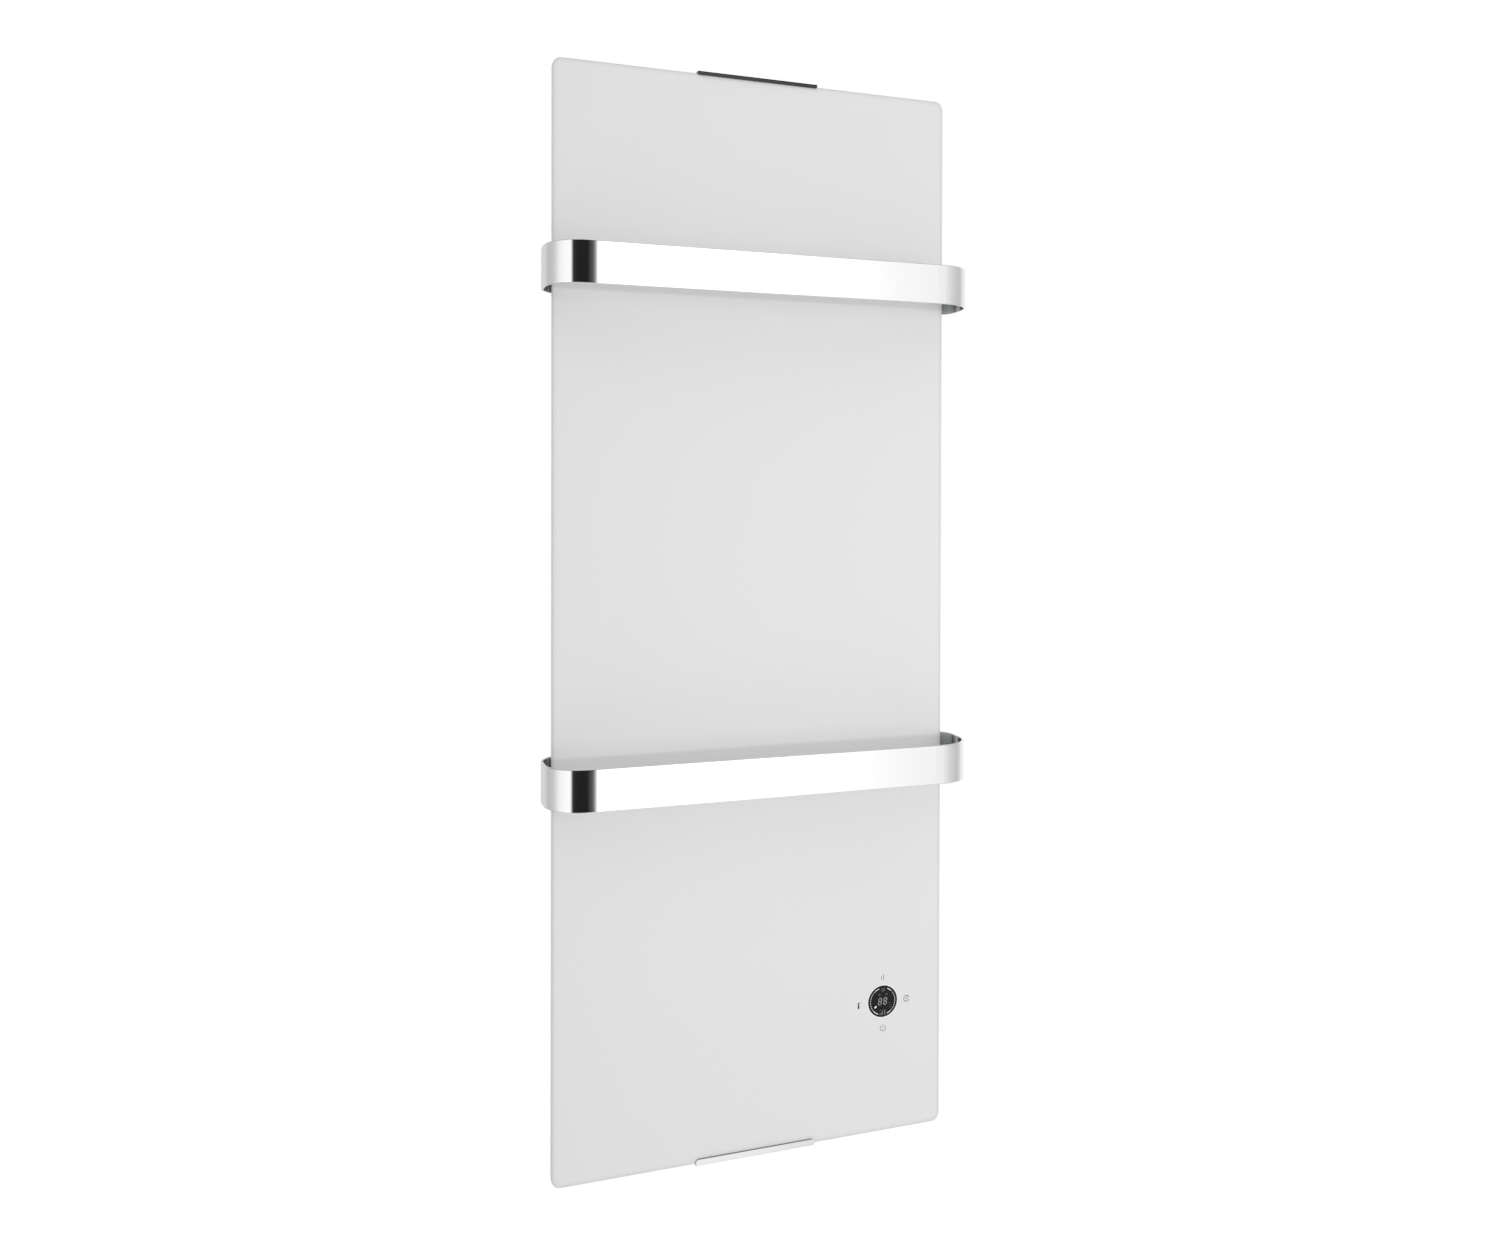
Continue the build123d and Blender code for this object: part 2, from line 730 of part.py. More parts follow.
# Brackets that carry the heater rods off the chassis, one at each end of each rod
with BuildPart() as element_brackets:
    for level in element_levels.values():
        for side in (-1, 1):
            with BuildSketch(Plane.YZ.offset(side * element_bracket_x - small_bracket_sheet / 2)):
                with Locations((-element_depth, level)):
                    Circle(element_bracket_width / 2)
                    Circle(bush_radius + bracket_bore_play, mode=Mode.SUBTRACT)
                with Locations((-element_depth - bush_radius - 1, level)):
                    Rectangle(
                        chassis_back - element_depth - bush_radius - 1,
                        element_bracket_width,
                        align=(Align.MAX, Align.CENTER),
                    )
            extrude(amount=small_bracket_sheet)
            foot_start = side * element_bracket_x - side * small_bracket_sheet / 2
            foot_x = foot_start + side * element_bracket_foot / 2
            with BuildSketch(at_depth(chassis_back - small_bracket_sheet)):
                with Locations((foot_x, level)):
                    Rectangle(element_bracket_foot, element_bracket_width)
                with Locations((side * (element_bracket_x + element_bracket_foot / 2), level)):
                    Circle(small_screw_size / 2 + hole_play, mode=Mode.SUBTRACT)
            extrude(amount=small_bracket_sheet)
finish(element_brackets, "element_brackets")

# Ceramic bushes with a collar between rod and bracket
with BuildPart() as element_bushes:
    for level in element_levels.values():
        for side in (-1, 1):
            with BuildSketch(Plane.YZ.offset(side * element_bracket_x - bush_length / 2)):
                with Locations((-element_depth, level)):
                    Circle(bush_radius)
                    Circle(rod_radius + hole_play / 2, mode=Mode.SUBTRACT)
            extrude(amount=bush_length)
            collar_near = side * element_bracket_x + side * small_bracket_sheet / 2
            collar_far = collar_near + side * bush_collar_length
            with BuildSketch(Plane.YZ.offset(min(collar_near, collar_far))):
                with Locations((-element_depth, level)):
                    Circle(bush_collar_radius)
                    Circle(bush_radius - 1, mode=Mode.SUBTRACT)
            extrude(amount=bush_collar_length)
finish(element_bushes, "element_bushes")

bracket_screws = pan_screws(
    element_foot_points + cutout_foot_points,
    chassis_back - small_bracket_sheet,
    small_bracket_sheet + chassis_thickness,
    small_screw_size,
)
finish(bracket_screws, "bracket_screws")

# Bright reflector plate with a lip along each long edge, on four posts
with BuildPart() as reflector_plate:
    reflector_height = reflector_top - reflector_bottom
    reflector_level = (reflector_top + reflector_bottom) / 2
    with BuildSketch(at_depth(reflector_depth - reflector_sheet)):
        with Locations((0, reflector_level)):
            Rectangle(reflector_width, reflector_height)
        with Locations(*reflector_post_points):
            Circle(small_screw_size / 2 + hole_play, mode=Mode.SUBTRACT)
    extrude(amount=reflector_sheet)
    for side in (-1, 1):
        lip_start = side * reflector_width / 2
        with BuildSketch(Plane.YZ.offset(min(lip_start, lip_start - side * reflector_sheet))):
            with Locations((-reflector_depth, reflector_level)):
                Rectangle(reflector_lip, reflector_height, align=(Align.MAX, Align.CENTER))
        extrude(amount=reflector_sheet)
finish(reflector_plate, "reflector_plate")

reflector_posts = hex_posts(
    reflector_post_points, reflector_depth, chassis_back, reflector_post_across, small_screw_size
)
finish(reflector_posts, "reflector_posts")
reflector_screws = pan_screws(
    reflector_post_points, reflector_depth - reflector_sheet, 6.0, small_screw_size
)
finish(reflector_screws, "reflector_screws")

# Overheat cut-out: a disc thermostat held against the warm air above the upper element
cutout_seat = chassis_back - cutout_bracket_height
cutout_foot_x, cutout_foot_z = cutout_foot_points[0]
cutout_riser_z = cutout_level + cutout_bracket_width / 2
with BuildPart() as cutout_bracket:
    with BuildSketch(at_depth(cutout_seat)):
        with Locations((cutout_x, cutout_level)):
            Rectangle(cutout_bracket_width, cutout_bracket_width)
            Circle(cutout_can_radius + hole_play, mode=Mode.SUBTRACT)
    extrude(amount=small_bracket_sheet)
    with BuildSketch(at_depth(cutout_seat)):
        with Locations((cutout_x, cutout_riser_z)):
            Rectangle(cutout_bracket_width, small_bracket_sheet, align=(Align.CENTER, Align.MAX))
    extrude(amount=cutout_bracket_height)
    with BuildSketch(at_depth(chassis_back - small_bracket_sheet)):
        with Locations((cutout_x, cutout_riser_z - small_bracket_sheet)):
            Rectangle(cutout_bracket_width, 14, align=(Align.CENTER, Align.MIN))
        with Locations((cutout_foot_x, cutout_foot_z)):
            Circle(small_screw_size / 2 + hole_play, mode=Mode.SUBTRACT)
    extrude(amount=small_bracket_sheet)
finish(cutout_bracket, "cutout_bracket")

cutout_back = cutout_seat - cutout_flange_sheet - cutout_height
cutout_tab_depth = cutout_back + spade_sheet
cutout_tab_reach = cutout_can_radius + spade_length
with BuildPart() as thermal_cutout:
    with BuildSketch(at_depth(cutout_seat - cutout_flange_sheet)):
        with Locations((cutout_x, cutout_level)):
            Circle(cutout_flange_radius)
    extrude(amount=cutout_flange_sheet)
    with BuildSketch(at_depth(cutout_back)):
        with Locations((cutout_x, cutout_level)):
            Circle(cutout_can_radius)
    extrude(amount=cutout_height + cutout_flange_sheet + small_bracket_sheet + 1)
    with BuildSketch(at_depth(cutout_tab_depth - spade_sheet / 2)):
        with Locations((cutout_x, cutout_level)):
            Rectangle(2 * cutout_tab_reach, spade_width)
    extrude(amount=spade_sheet)
finish(thermal_cutout, "thermal_cutout")

# Touch control: box, board, soft pads that reach the glass, digit module and its dark lens
touch_board_front = glass_back - touch_board_to_glass
touch_board_back = touch_board_front - touch_board_thickness
control_box_back = chassis_back - control_box_depth
control_box_inner_width = control_box_width - 2 * control_box_wall
control_box_inner_height = control_box_height - 2 * control_box_wall
post_inset = control_post_radius + control_box_play
control_post_points = []
for side in (-1, 1):
    for end in (-1, 1):
        post_x = display_x + side * (touch_board_width / 2 - post_inset)
        post_z = display_level + end * (touch_board_height / 2 - post_inset)
        control_post_points.append((post_x, post_z))
with BuildPart() as control_box:
    with BuildSketch(at_depth(control_box_back)):
        with Locations((display_x, display_level)):
            RectangleRounded(control_box_width, control_box_height, 3)
    extrude(amount=control_box_depth)
    with BuildSketch(at_depth(control_box_back + control_box_wall)):
        with Locations((display_x, display_level)):
            RectangleRounded(control_box_inner_width, control_box_inner_height, 1)
    extrude(amount=control_box_depth - control_box_wall, mode=Mode.SUBTRACT)
    with BuildSketch(at_depth(control_box_back + control_box_wall)):
        with Locations(*control_post_points):
            Circle(control_post_radius)
    extrude(amount=touch_board_back - control_box_back - control_box_wall)
    with BuildSketch(at_depth(chassis_back - control_box_wall)):
        with Locations(*control_ear_points):
            Rectangle(control_ear + 5, control_ear)
            Circle(small_screw_size / 2 + hole_play, mode=Mode.SUBTRACT)
    extrude(amount=control_box_wall)
    with BuildSketch(at_depth(touch_board_back - 8)):
        with Locations(*control_post_points):
            Circle(small_screw_size / 3)
    extrude(amount=8, mode=Mode.SUBTRACT)
    with BuildSketch(Plane.YZ.offset(display_x - control_box_width / 2)):
        with Locations((-(control_box_back + 6), display_level)):
            Rectangle(4, 16)
    extrude(amount=control_box_wall, mode=Mode.SUBTRACT)
finish(control_box, "control_box")

with BuildPart() as touch_board:
    with BuildSketch(at_depth(touch_board_back)):
        with Locations((display_x, display_level)):
            Rectangle(touch_board_width, touch_board_height)
        with Locations(*control_post_points):
            Circle(small_screw_size / 3 + hole_play, mode=Mode.SUBTRACT)
    extrude(amount=touch_board_thickness)
finish(touch_board, "touch_board")

with BuildPart() as touch_board_screws:
    with BuildSketch(at_depth(touch_board_back - 6)):
        with Locations(*control_post_points):
            Circle(small_screw_size / 3 - thread_play)
    extrude(amount=6 + touch_board_thickness)
    with BuildSketch(at_depth(touch_board_front)):
        with Locations(*control_post_points):
            Circle(small_screw_size / 1.6)
    extrude(amount=1.4)
finish(touch_board_screws, "touch_board_screws")

with BuildPart() as display_module:
    with BuildSketch(at_depth(touch_board_front)):
        with Locations((display_x, display_level)):
            Circle(display_radius)
    extrude(amount=touch_board_to_glass - display_lens_thickness)
finish(display_module, "display_module")

with BuildPart() as display_lens:
    with BuildSketch(at_depth(glass_back - display_lens_thickness)):
        with Locations((display_x, display_level)):
            Circle(display_radius)
    extrude(amount=display_lens_thickness)
finish(display_lens, "display_lens")

touch_points = [
    (display_x, display_level + touch_reach),
    (display_x + touch_reach, display_level),
    (display_x, display_level - touch_reach),
    (display_x - touch_reach, display_level),
]
with BuildPart() as touch_pads:
    with BuildSketch(at_depth(touch_board_front)):
        with Locations(*touch_points):
            Circle(touch_pad_radius)
    extrude(amount=touch_board_to_glass)
finish(touch_pads, "touch_pads")

control_screws = pan_screws(
    control_ear_points,
    chassis_back - control_box_wall,
    control_box_wall + chassis_thickness,
    small_screw_size,
)
finish(control_screws, "control_screws")

# Power board on four posts, with its tall components on the wall side
board_front = chassis_back - board_post_height
board_back = board_front - power_board_thickness
with BuildPart() as power_board:
    with BuildSketch(at_depth(board_back)):
        with Locations((power_board_x, power_board_level)):
            Rectangle(power_board_width, power_board_height)
        with Locations(*board_post_points):
            Circle(small_screw_size / 2 + hole_play, mode=Mode.SUBTRACT)
    extrude(amount=power_board_thickness)
finish(power_board, "power_board")
board_posts = hex_posts(
    board_post_points, board_front, chassis_back, 2 * board_post_radius, small_screw_size
)
finish(board_posts, "board_posts")
board_screws = pan_screws(board_post_points, board_back, power_board_thickness + 4, small_screw_size)
finish(board_screws, "board_screws")


def board_component(offset_x, offset_z, size, edge_round):
    """Component standing on the wall side of the power board."""
    width, height, depth = size
    centre_x = power_board_x + offset_x
    level = power_board_level + offset_z
    return block(centre_x, level, width, height, board_back - depth, board_back, edge_round)


relay_x = -32.0
transformer_x = 0.0
capacitor_x = 26.0
component_row = 14.0
connector_places = [(-36.0, -20.0), (-12.0, -20.0), (12.0, -20.0), (36.0, -20.0), (46.0, 14.0)]
finish(board_component(relay_x, component_row, relay_size, 1), "power_relay")
finish(board_component(transformer_x, component_row, transformer_size, 2), "board_transformer")
finish(board_component(capacitor_x, component_row, capacitor_size, 1.5), "mains_capacitor")
connector_width, connector_height, connector_depth = connector_size
connector_points = [(power_board_x + x, power_board_level + z) for x, z in connector_places]
with BuildPart() as board_connectors:
    with BuildSketch(at_depth(board_back - connector_depth)):
        with Locations(*connector_points):
            Rectangle(connector_width, connector_height)
    extrude(amount=connector_depth)
finish(board_connectors, "board_connectors")

# Mains terminal block with three clamps, entered from below and above
terminal_face = chassis_back - terminal_depth
terminal_poles = [terminal_x + step * terminal_pitch for step in (-1, 0, 1)]
terminal_hole_depth = terminal_face + terminal_depth * 0.55
with BuildPart() as terminal_block:
    with BuildSketch(at_depth(terminal_face)):
        with Locations((terminal_x, terminal_level)):
            RectangleRounded(terminal_width, terminal_height, 1.5)
    extrude(amount=terminal_depth)
    with BuildSketch(Plane.XY.offset(terminal_level - terminal_height / 2)):
        for pole_x in terminal_poles:
            with Locations((pole_x, -terminal_hole_depth)):
                Circle(lead_radius + 0.8)
    extrude(amount=terminal_height, mode=Mode.SUBTRACT)
    with BuildSketch(at_depth(terminal_face)):
        for pole_x in terminal_poles:
            with Locations((pole_x, terminal_level)):
                Circle(terminal_screw_size)
    extrude(amount=3, mode=Mode.SUBTRACT)
finish(terminal_block, "terminal_block")
with BuildPart() as terminal_screws:
    with BuildSketch(at_depth(terminal_face + 0.6)):
        for pole_x in terminal_poles:
            with Locations((pole_x, terminal_level)):
                Circle(terminal_screw_size - hole_play)
    extrude(amount=3 - 0.6)
    with BuildSketch(at_depth(terminal_face + 0.6)):
        for pole_x in terminal_poles:
            with Locations((pole_x, terminal_level)):
                Rectangle(2 * terminal_screw_size, 0.7)
    extrude(amount=1, mode=Mode.SUBTRACT)
finish(terminal_screws, "terminal_screws")

# Earth stud pressed into the chassis, and its nut
earth_reach = 12.0
earth_nut_height = 3.2
with BuildPart() as earth_stud:
    with BuildSketch(at_depth(chassis_back - earth_reach)):
        with Locations((earth_x, earth_level)):
            Circle(earth_size / 2 - thread_play)
    extrude(amount=earth_reach + chassis_thickness)
    with BuildSketch(at_depth(chassis_back - 1)):
        with Locations((earth_x, earth_level)):
            Circle(earth_size)
    extrude(amount=1)
finish(earth_stud, "earth_stud")
with BuildPart() as earth_nut:
    with BuildSketch(at_depth(chassis_back - 4 - earth_nut_height)):
        with Locations((earth_x, earth_level)):
            RegularPolygon(earth_size * 0.875, 6, major_radius=False)
            Circle(earth_size / 2, mode=Mode.SUBTRACT)
    extrude(amount=earth_nut_height)
finish(earth_nut, "earth_nut")

# Cord gland through the bottom of the cover, and its nut inside
cover_bottom = -cover_height / 2
with BuildPart() as cord_gland:
    with BuildSketch(Plane.XY.offset(cover_bottom - gland_flange_height)):
        with Locations((gland_x, -gland_depth)):
            Circle(gland_flange_radius)
    extrude(amount=gland_flange_height)
    fillet(cord_gland.edges().filter_by(GeomType.CIRCLE).sort_by(Axis.Z)[0], gland_flange_height * 0.6)
    with BuildSketch(Plane.XY.offset(cover_bottom)):
        with Locations((gland_x, -gland_depth)):
            Circle(gland_thread_radius)
    extrude(amount=gland_inside_length)
    with BuildSketch(Plane.XY.offset(cover_bottom - gland_flange_height)):
        with Locations((gland_x, -gland_depth)):
            Circle(gland_bore_radius)
    extrude(amount=gland_flange_height + gland_inside_length, mode=Mode.SUBTRACT)
finish(cord_gland, "cord_gland")
with BuildPart() as gland_nut:
    with BuildSketch(Plane.XY.offset(cover_bottom + cover_sheet)):
        with Locations((gland_x, -gland_depth)):
            RegularPolygon(gland_nut_across / 2, 6, major_radius=False)
            Circle(gland_thread_radius + thread_play, mode=Mode.SUBTRACT)
    extrude(amount=gland_nut_height)
finish(gland_nut, "gland_nut")

# Rocker switch: hollow body clipped into the right wall, and the rocker on its two pins
switch_x = cover_width / 2
bezel_face = switch_x + switch_bezel_height
pivot_x = bezel_face - rocker_pivot_below_bezel
cavity_width = switch_body_width - 2 * switch_wall
cavity_length = switch_body_length - 2 * switch_wall
with BuildPart() as switch_body:
    with BuildSketch(Plane.YZ.offset(switch_x - switch_body_depth)):
        with Locations((-switch_depth, switch_level)):
            RectangleRounded(switch_body_width, switch_body_length, 1)
    extrude(amount=switch_body_depth)
    with BuildSketch(Plane.YZ.offset(switch_x)):
        with Locations((-switch_depth, switch_level)):
            RectangleRounded(switch_bezel_width, switch_bezel_length, 1.5)
    extrude(amount=switch_bezel_height)
    chamfer(switch_body.faces().sort_by(Axis.X)[-1].edges(), 0.6)
    with BuildSketch(Plane.YZ.offset(bezel_face - switch_cavity_depth)):
        with Locations((-switch_depth, switch_level)):
            Rectangle(cavity_width, cavity_length)
    extrude(amount=switch_cavity_depth, mode=Mode.SUBTRACT)
    with BuildSketch(at_depth(switch_depth - cavity_width / 2 - 1)):
        with Locations((pivot_x, switch_level)):
            Circle(rocker_pin_radius + rocker_pin_play)
    extrude(amount=cavity_width + 2, mode=Mode.SUBTRACT)
finish(switch_body, "switch_body")

rocker_radius = cavity_length / 2 - rocker_end_play
rocker_width = cavity_width - 2 * rocker_side_play
facet_rise = rocker_radius * tan(radians(rocker_throw))
facet_outline = [
    (-rocker_radius, -rocker_radius),
    (rocker_valley + facet_rise, -rocker_radius),
    (rocker_valley, 0),
    (rocker_valley + facet_rise, rocker_radius),
    (-rocker_radius, rocker_radius),
]
with BuildPart() as switch_rocker:
    with BuildSketch(at_depth(switch_depth - rocker_width / 2)):
        with Locations(Location((pivot_x, switch_level, 0), (0, 0, rocker_throw))):
            Circle(rocker_radius)
            Polygon(*facet_outline, mode=Mode.INTERSECT)
    extrude(amount=rocker_width)
    with BuildSketch(at_depth(switch_depth - rocker_width / 2 - rocker_pin_length)):
        with Locations((pivot_x, switch_level)):
            Circle(rocker_pin_radius)
    extrude(amount=rocker_width + 2 * rocker_pin_length)
finish(switch_rocker, "switch_rocker")

spade_root = switch_x - switch_body_depth
spade_levels = (switch_level - spade_spacing / 2, switch_level + spade_spacing / 2)
with BuildPart() as switch_spades:
    with BuildSketch(Plane.YZ.offset(spade_root - spade_length)):
        for spade_level in spade_levels:
            with Locations((-switch_depth, spade_level)):
                Rectangle(spade_width, spade_sheet)
    extrude(amount=spade_length)
finish(switch_spades, "switch_spades")

# Room sensor: a bead in a small holder that stands by the lowest air slots
with BuildPart() as sensor_holder:
    with BuildSketch(at_depth(chassis_back - 12)):
        with Locations((sensor_x, sensor_level)):
            RectangleRounded(16, 12, 2)
    extrude(amount=12)
    with BuildSketch(Plane.YZ.offset(sensor_x - 8)):
        with Locations((-(chassis_back - 8), sensor_level)):
            Circle(sensor_radius)
    extrude(amount=16, mode=Mode.SUBTRACT)
finish(sensor_holder, "sensor_holder")
with BuildPart() as room_sensor:
    with BuildSketch(Plane.YZ.offset(sensor_x - 10)):
        with Locations((-(chassis_back - 8), sensor_level)):
            Circle(sensor_radius - hole_play / 3)
    extrude(amount=sensor_length)
    fillet(room_sensor.edges().filter_by(GeomType.CIRCLE).sort_by(Axis.X)[0], sensor_radius * 0.7)
finish(room_sensor, "room_sensor")

# Internal leads, from terminal to terminal; what follows are the ends they meet
board_lead_depth = board_back - connector_depth - lead_end_gap
lead_ends = [(x, board_lead_depth, z) for x, z in connector_points]
element_end, cutout_end, neutral_end, live_end, display_end = lead_ends
terminal_inside = terminal_level + 6
terminal_over = terminal_level + terminal_height
pin_end = rod_length / 2 + rod_pin_length + lead_end_gap
lead_side_x = cover_inner_x - lead_wall_gap
lower_element = element_levels["lower"]
upper_element = element_levels["upper"]
spade_end = spade_root - spade_length - lead_end_gap
below_board = switch_level - 16
below_reflector = reflector_bottom - 11

live_leads = leads(
    [
        [
            (terminal_poles[2], terminal_hole_depth, terminal_inside),
            (terminal_poles[2], terminal_hole_depth, terminal_over),
            (terminal_poles[2] + 55, switch_depth, terminal_over),
            (terminal_poles[2] + 55, switch_depth, spade_levels[1]),
            (spade_end, switch_depth, spade_levels[1]),
        ],
        [
            (spade_end, switch_depth, spade_levels[0]),
            (spade_end - 20, switch_depth, spade_levels[0]),
            (spade_end - 40, lead_run_depth, below_board),
            (live_end[0], lead_run_depth, below_board),
            (live_end[0], lead_run_depth, live_end[2]),
            live_end,
        ],
    ]
)
finish(live_leads, "live_leads")

neutral_lead = leads(
    [
        [
            (terminal_poles[0], terminal_hole_depth, terminal_inside),
            (terminal_poles[0], terminal_hole_depth, terminal_over),
            (terminal_poles[0] - 20, lead_run_depth, terminal_over - 7),
            (neutral_end[0], lead_run_depth, neutral_end[2]),
            neutral_end,
        ]
    ]
)
finish(neutral_lead, "neutral_lead")

earth_clamp_depth = chassis_back - 2.5
earth_lead = leads(
    [
        [
            (terminal_poles[1], terminal_hole_depth, terminal_inside),
            (terminal_poles[1], terminal_hole_depth, terminal_over + 6),
            (earth_x, earth_clamp_depth, terminal_over + 6),
            (earth_x, earth_clamp_depth, earth_level + earth_size / 2 + lead_end_gap),
        ]
    ]
)
finish(earth_lead, "earth_lead")

# The two elements are wired in series with the overheat cut-out
element_leads = leads(
    [
        [
            element_end,
            (element_end[0], lead_run_depth, element_end[2]),
            (-lead_side_x, lead_run_depth, element_end[2] + 15),
            (-lead_side_x, element_depth, element_end[2] + 45),
            (-lead_side_x, element_depth, lower_element),
            (-pin_end, element_depth, lower_element),
        ],
        [
            (pin_end, element_depth, lower_element),
            (lead_side_x, element_depth, lower_element),
            (lead_side_x, element_depth, upper_element),
            (pin_end, element_depth, upper_element),
        ],
        [
            (-pin_end, element_depth, upper_element),
            (-lead_side_x, element_depth, upper_element),
            (-lead_side_x, cutout_tab_depth, cutout_level),
            (cutout_x - cutout_tab_reach - lead_end_gap, cutout_tab_depth, cutout_level),
        ],
        [
            (cutout_x + cutout_tab_reach + lead_end_gap, cutout_tab_depth, cutout_level),
            (lead_side_x + lead_pair_gap, cutout_tab_depth, cutout_level),
            (lead_side_x + lead_pair_gap, cutout_tab_depth, below_reflector + 36),
            (lead_side_x - 24, lead_run_depth, below_reflector),
            (cutout_end[0], lead_run_depth, below_reflector),
            (cutout_end[0], lead_run_depth, cutout_end[2]),
            cutout_end,
        ],
    ]
)
finish(element_leads, "element_leads")

cable_slot_depth = control_box_back + 6
control_box_left = display_x - control_box_width / 2
sensor_depth = chassis_back - 8
control_leads = leads(
    [
        [
            display_end,
            (display_end[0], lead_run_depth + 2, display_end[2]),
            (control_box_left - 38, lead_run_depth + 2, display_end[2]),
            (control_box_left - 13, cable_slot_depth, display_level),
            (control_box_left + 12, cable_slot_depth, display_level),
            (control_box_left + 12, touch_board_back - lead_end_gap, display_level),
        ],
        [
            (sensor_x - 10 + sensor_length + lead_end_gap, sensor_depth, sensor_level),
            (sensor_x + 22, sensor_depth, sensor_level),
            (sensor_x + 22, sensor_depth + 0.7, power_board_level - power_board_height / 2 - lead_end_gap),
        ],
    ]
)
finish(control_leads, "control_leads")

print(len(finished), "pieces written")
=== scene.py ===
# %% [markdown]
# # Dressing a glass wall heater
# The solids of the heater come from a finished model: a tall sheet of glass, two steel bars bent
# round it, and a shallow housing behind. This lesson gives each solid its real finish, draws the
# marks of the touch display, and sets up the camera and the light of a plain product photograph.

# %% Load the model
import json
import math

import bmesh
import bpy
import numpy as np
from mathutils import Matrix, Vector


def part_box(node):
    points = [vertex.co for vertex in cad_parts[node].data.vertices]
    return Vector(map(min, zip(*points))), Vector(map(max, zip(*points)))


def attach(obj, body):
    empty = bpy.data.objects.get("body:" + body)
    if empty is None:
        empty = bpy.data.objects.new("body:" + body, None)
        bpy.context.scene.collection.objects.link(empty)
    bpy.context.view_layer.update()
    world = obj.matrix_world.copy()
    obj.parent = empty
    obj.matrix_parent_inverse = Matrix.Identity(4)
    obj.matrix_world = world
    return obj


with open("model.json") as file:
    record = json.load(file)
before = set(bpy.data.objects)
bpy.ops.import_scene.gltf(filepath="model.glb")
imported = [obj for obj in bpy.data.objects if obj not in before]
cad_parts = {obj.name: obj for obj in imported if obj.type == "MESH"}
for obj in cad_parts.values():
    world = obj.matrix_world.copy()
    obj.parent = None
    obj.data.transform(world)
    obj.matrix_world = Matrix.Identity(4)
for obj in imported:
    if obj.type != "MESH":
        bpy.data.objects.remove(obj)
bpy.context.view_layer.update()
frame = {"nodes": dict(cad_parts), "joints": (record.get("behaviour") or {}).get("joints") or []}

nodes = frame["nodes"]

# %% [markdown]
# ## The camera
# The photograph was taken from the left of the heater at about the height of its upper half, with
# the camera almost level and its frame shifted down, as an architect's camera is. A level camera
# keeps the long glass edges nearly upright. The numbers were fitted to the edges of the glass, the
# bars and the clips: a 28 mm lens on a 36 mm sensor, a little over one metre in front of the glass.

# %% Place the camera
image_width, image_height = 1500, 1249
sensor_width = 36.0
focal_pixels = 1175.7
principal_row = 509.8
camera_yaw = math.radians(18.219)
camera_pitch = math.radians(-0.56)
camera_roll = math.radians(-0.14)
camera_place = (-0.3657, -1.1507, 0.1182)

lens = bpy.data.cameras.new("photo_camera")
lens.sensor_fit = "HORIZONTAL"
lens.sensor_width = sensor_width
lens.lens = sensor_width * focal_pixels / image_width
lens.shift_y = -(image_height / 2 - principal_row) / image_width
lens.clip_start = 0.01
camera = bpy.data.objects.new("photo_camera", lens)
bpy.context.scene.collection.objects.link(camera)
camera.location = camera_place
camera.rotation_euler = (math.radians(90) + camera_pitch, camera_roll, -camera_yaw)
bpy.context.scene.camera = camera
print("lens", round(lens.lens, 2), "mm, shift", round(lens.shift_y, 4))

# %% [markdown]
# ## The studio
# Glass and steel look the way their surroundings look, so the studio is built first. The world is
# plain white to the camera. To diffuse surfaces it is a soft light that comes mostly from above
# and below, so that the bars hardly shade the glass behind them. To shiny surfaces it is a room: a
# bright screen in front, a dark slot beside it, paler walls round the sides and a dark ceiling. The
# room is drawn from the direction of each reflected ray, so it stands still in every view. One ramp
# gives the brightness round the horizon, another the brightness by height.

# %% Node helpers
column_step, row_step = 180, 160


def add_node(tree, kind, place, *feeds, **settings):
    """Adds one shader node at a column and row of the sheet: its location is the place times the
    step. Plain properties come by name. The feeds go to the inputs in order: a socket is linked,
    and any other value is set."""
    node = tree.nodes.new(kind)
    node.location = (place[0] * column_step, place[1] * row_step)
    for key, value in settings.items():
        setattr(node, key, value)
    for socket, feed in zip(node.inputs, feeds):
        if isinstance(feed, bpy.types.NodeSocket):
            tree.links.new(feed, socket)
        else:
            socket.default_value = feed
    return node


def number_node(tree, place, operation, *feeds, **settings):
    """Math node on numbers."""
    return add_node(tree, "ShaderNodeMath", place, *feeds, operation=operation, **settings)


def vector_node(tree, place, operation, *feeds):
    """Math node on vectors."""
    return add_node(tree, "ShaderNodeVectorMath", place, *feeds, operation=operation)


def mix_colours(tree, place, factor, first, second, **settings):
    """Mix node for two colours, which are its inputs 6 and 7 and its output 2."""
    node = add_node(tree, "ShaderNodeMix", place, factor, data_type="RGBA", **settings)
    tree.links.new(first, node.inputs[6])
    tree.links.new(second, node.inputs[7])
    return node


def set_ramp(node, stops):
    """Fills a colour ramp with (position, grey or colour) stops."""
    ramp = node.color_ramp
    while len(ramp.elements) > 1:
        ramp.elements.remove(ramp.elements[-1])
    for index, (position, value) in enumerate(stops):
        stop = ramp.elements[0] if index == 0 else ramp.elements.new(position)
        stop.position = position
        colour = value if isinstance(value, tuple) else (value, value, value)
        stop.color = (*colour, 1.0)


def new_material(name):
    """New material, with its node tree and its surface shader."""
    material = bpy.data.materials.new(name)
    material.use_nodes = True
    return material, material.node_tree, material.node_tree.nodes["Principled BSDF"]


print("node helpers ready")

# %% [markdown]
# Both ramps are lists of an angle in degrees and a brightness. The walls start behind the heater
# and run round by its left, its front and its right. Narrow steps in them stand where the bars and
# their bends mirror the room, so each step is a band of light or dark on the steel.

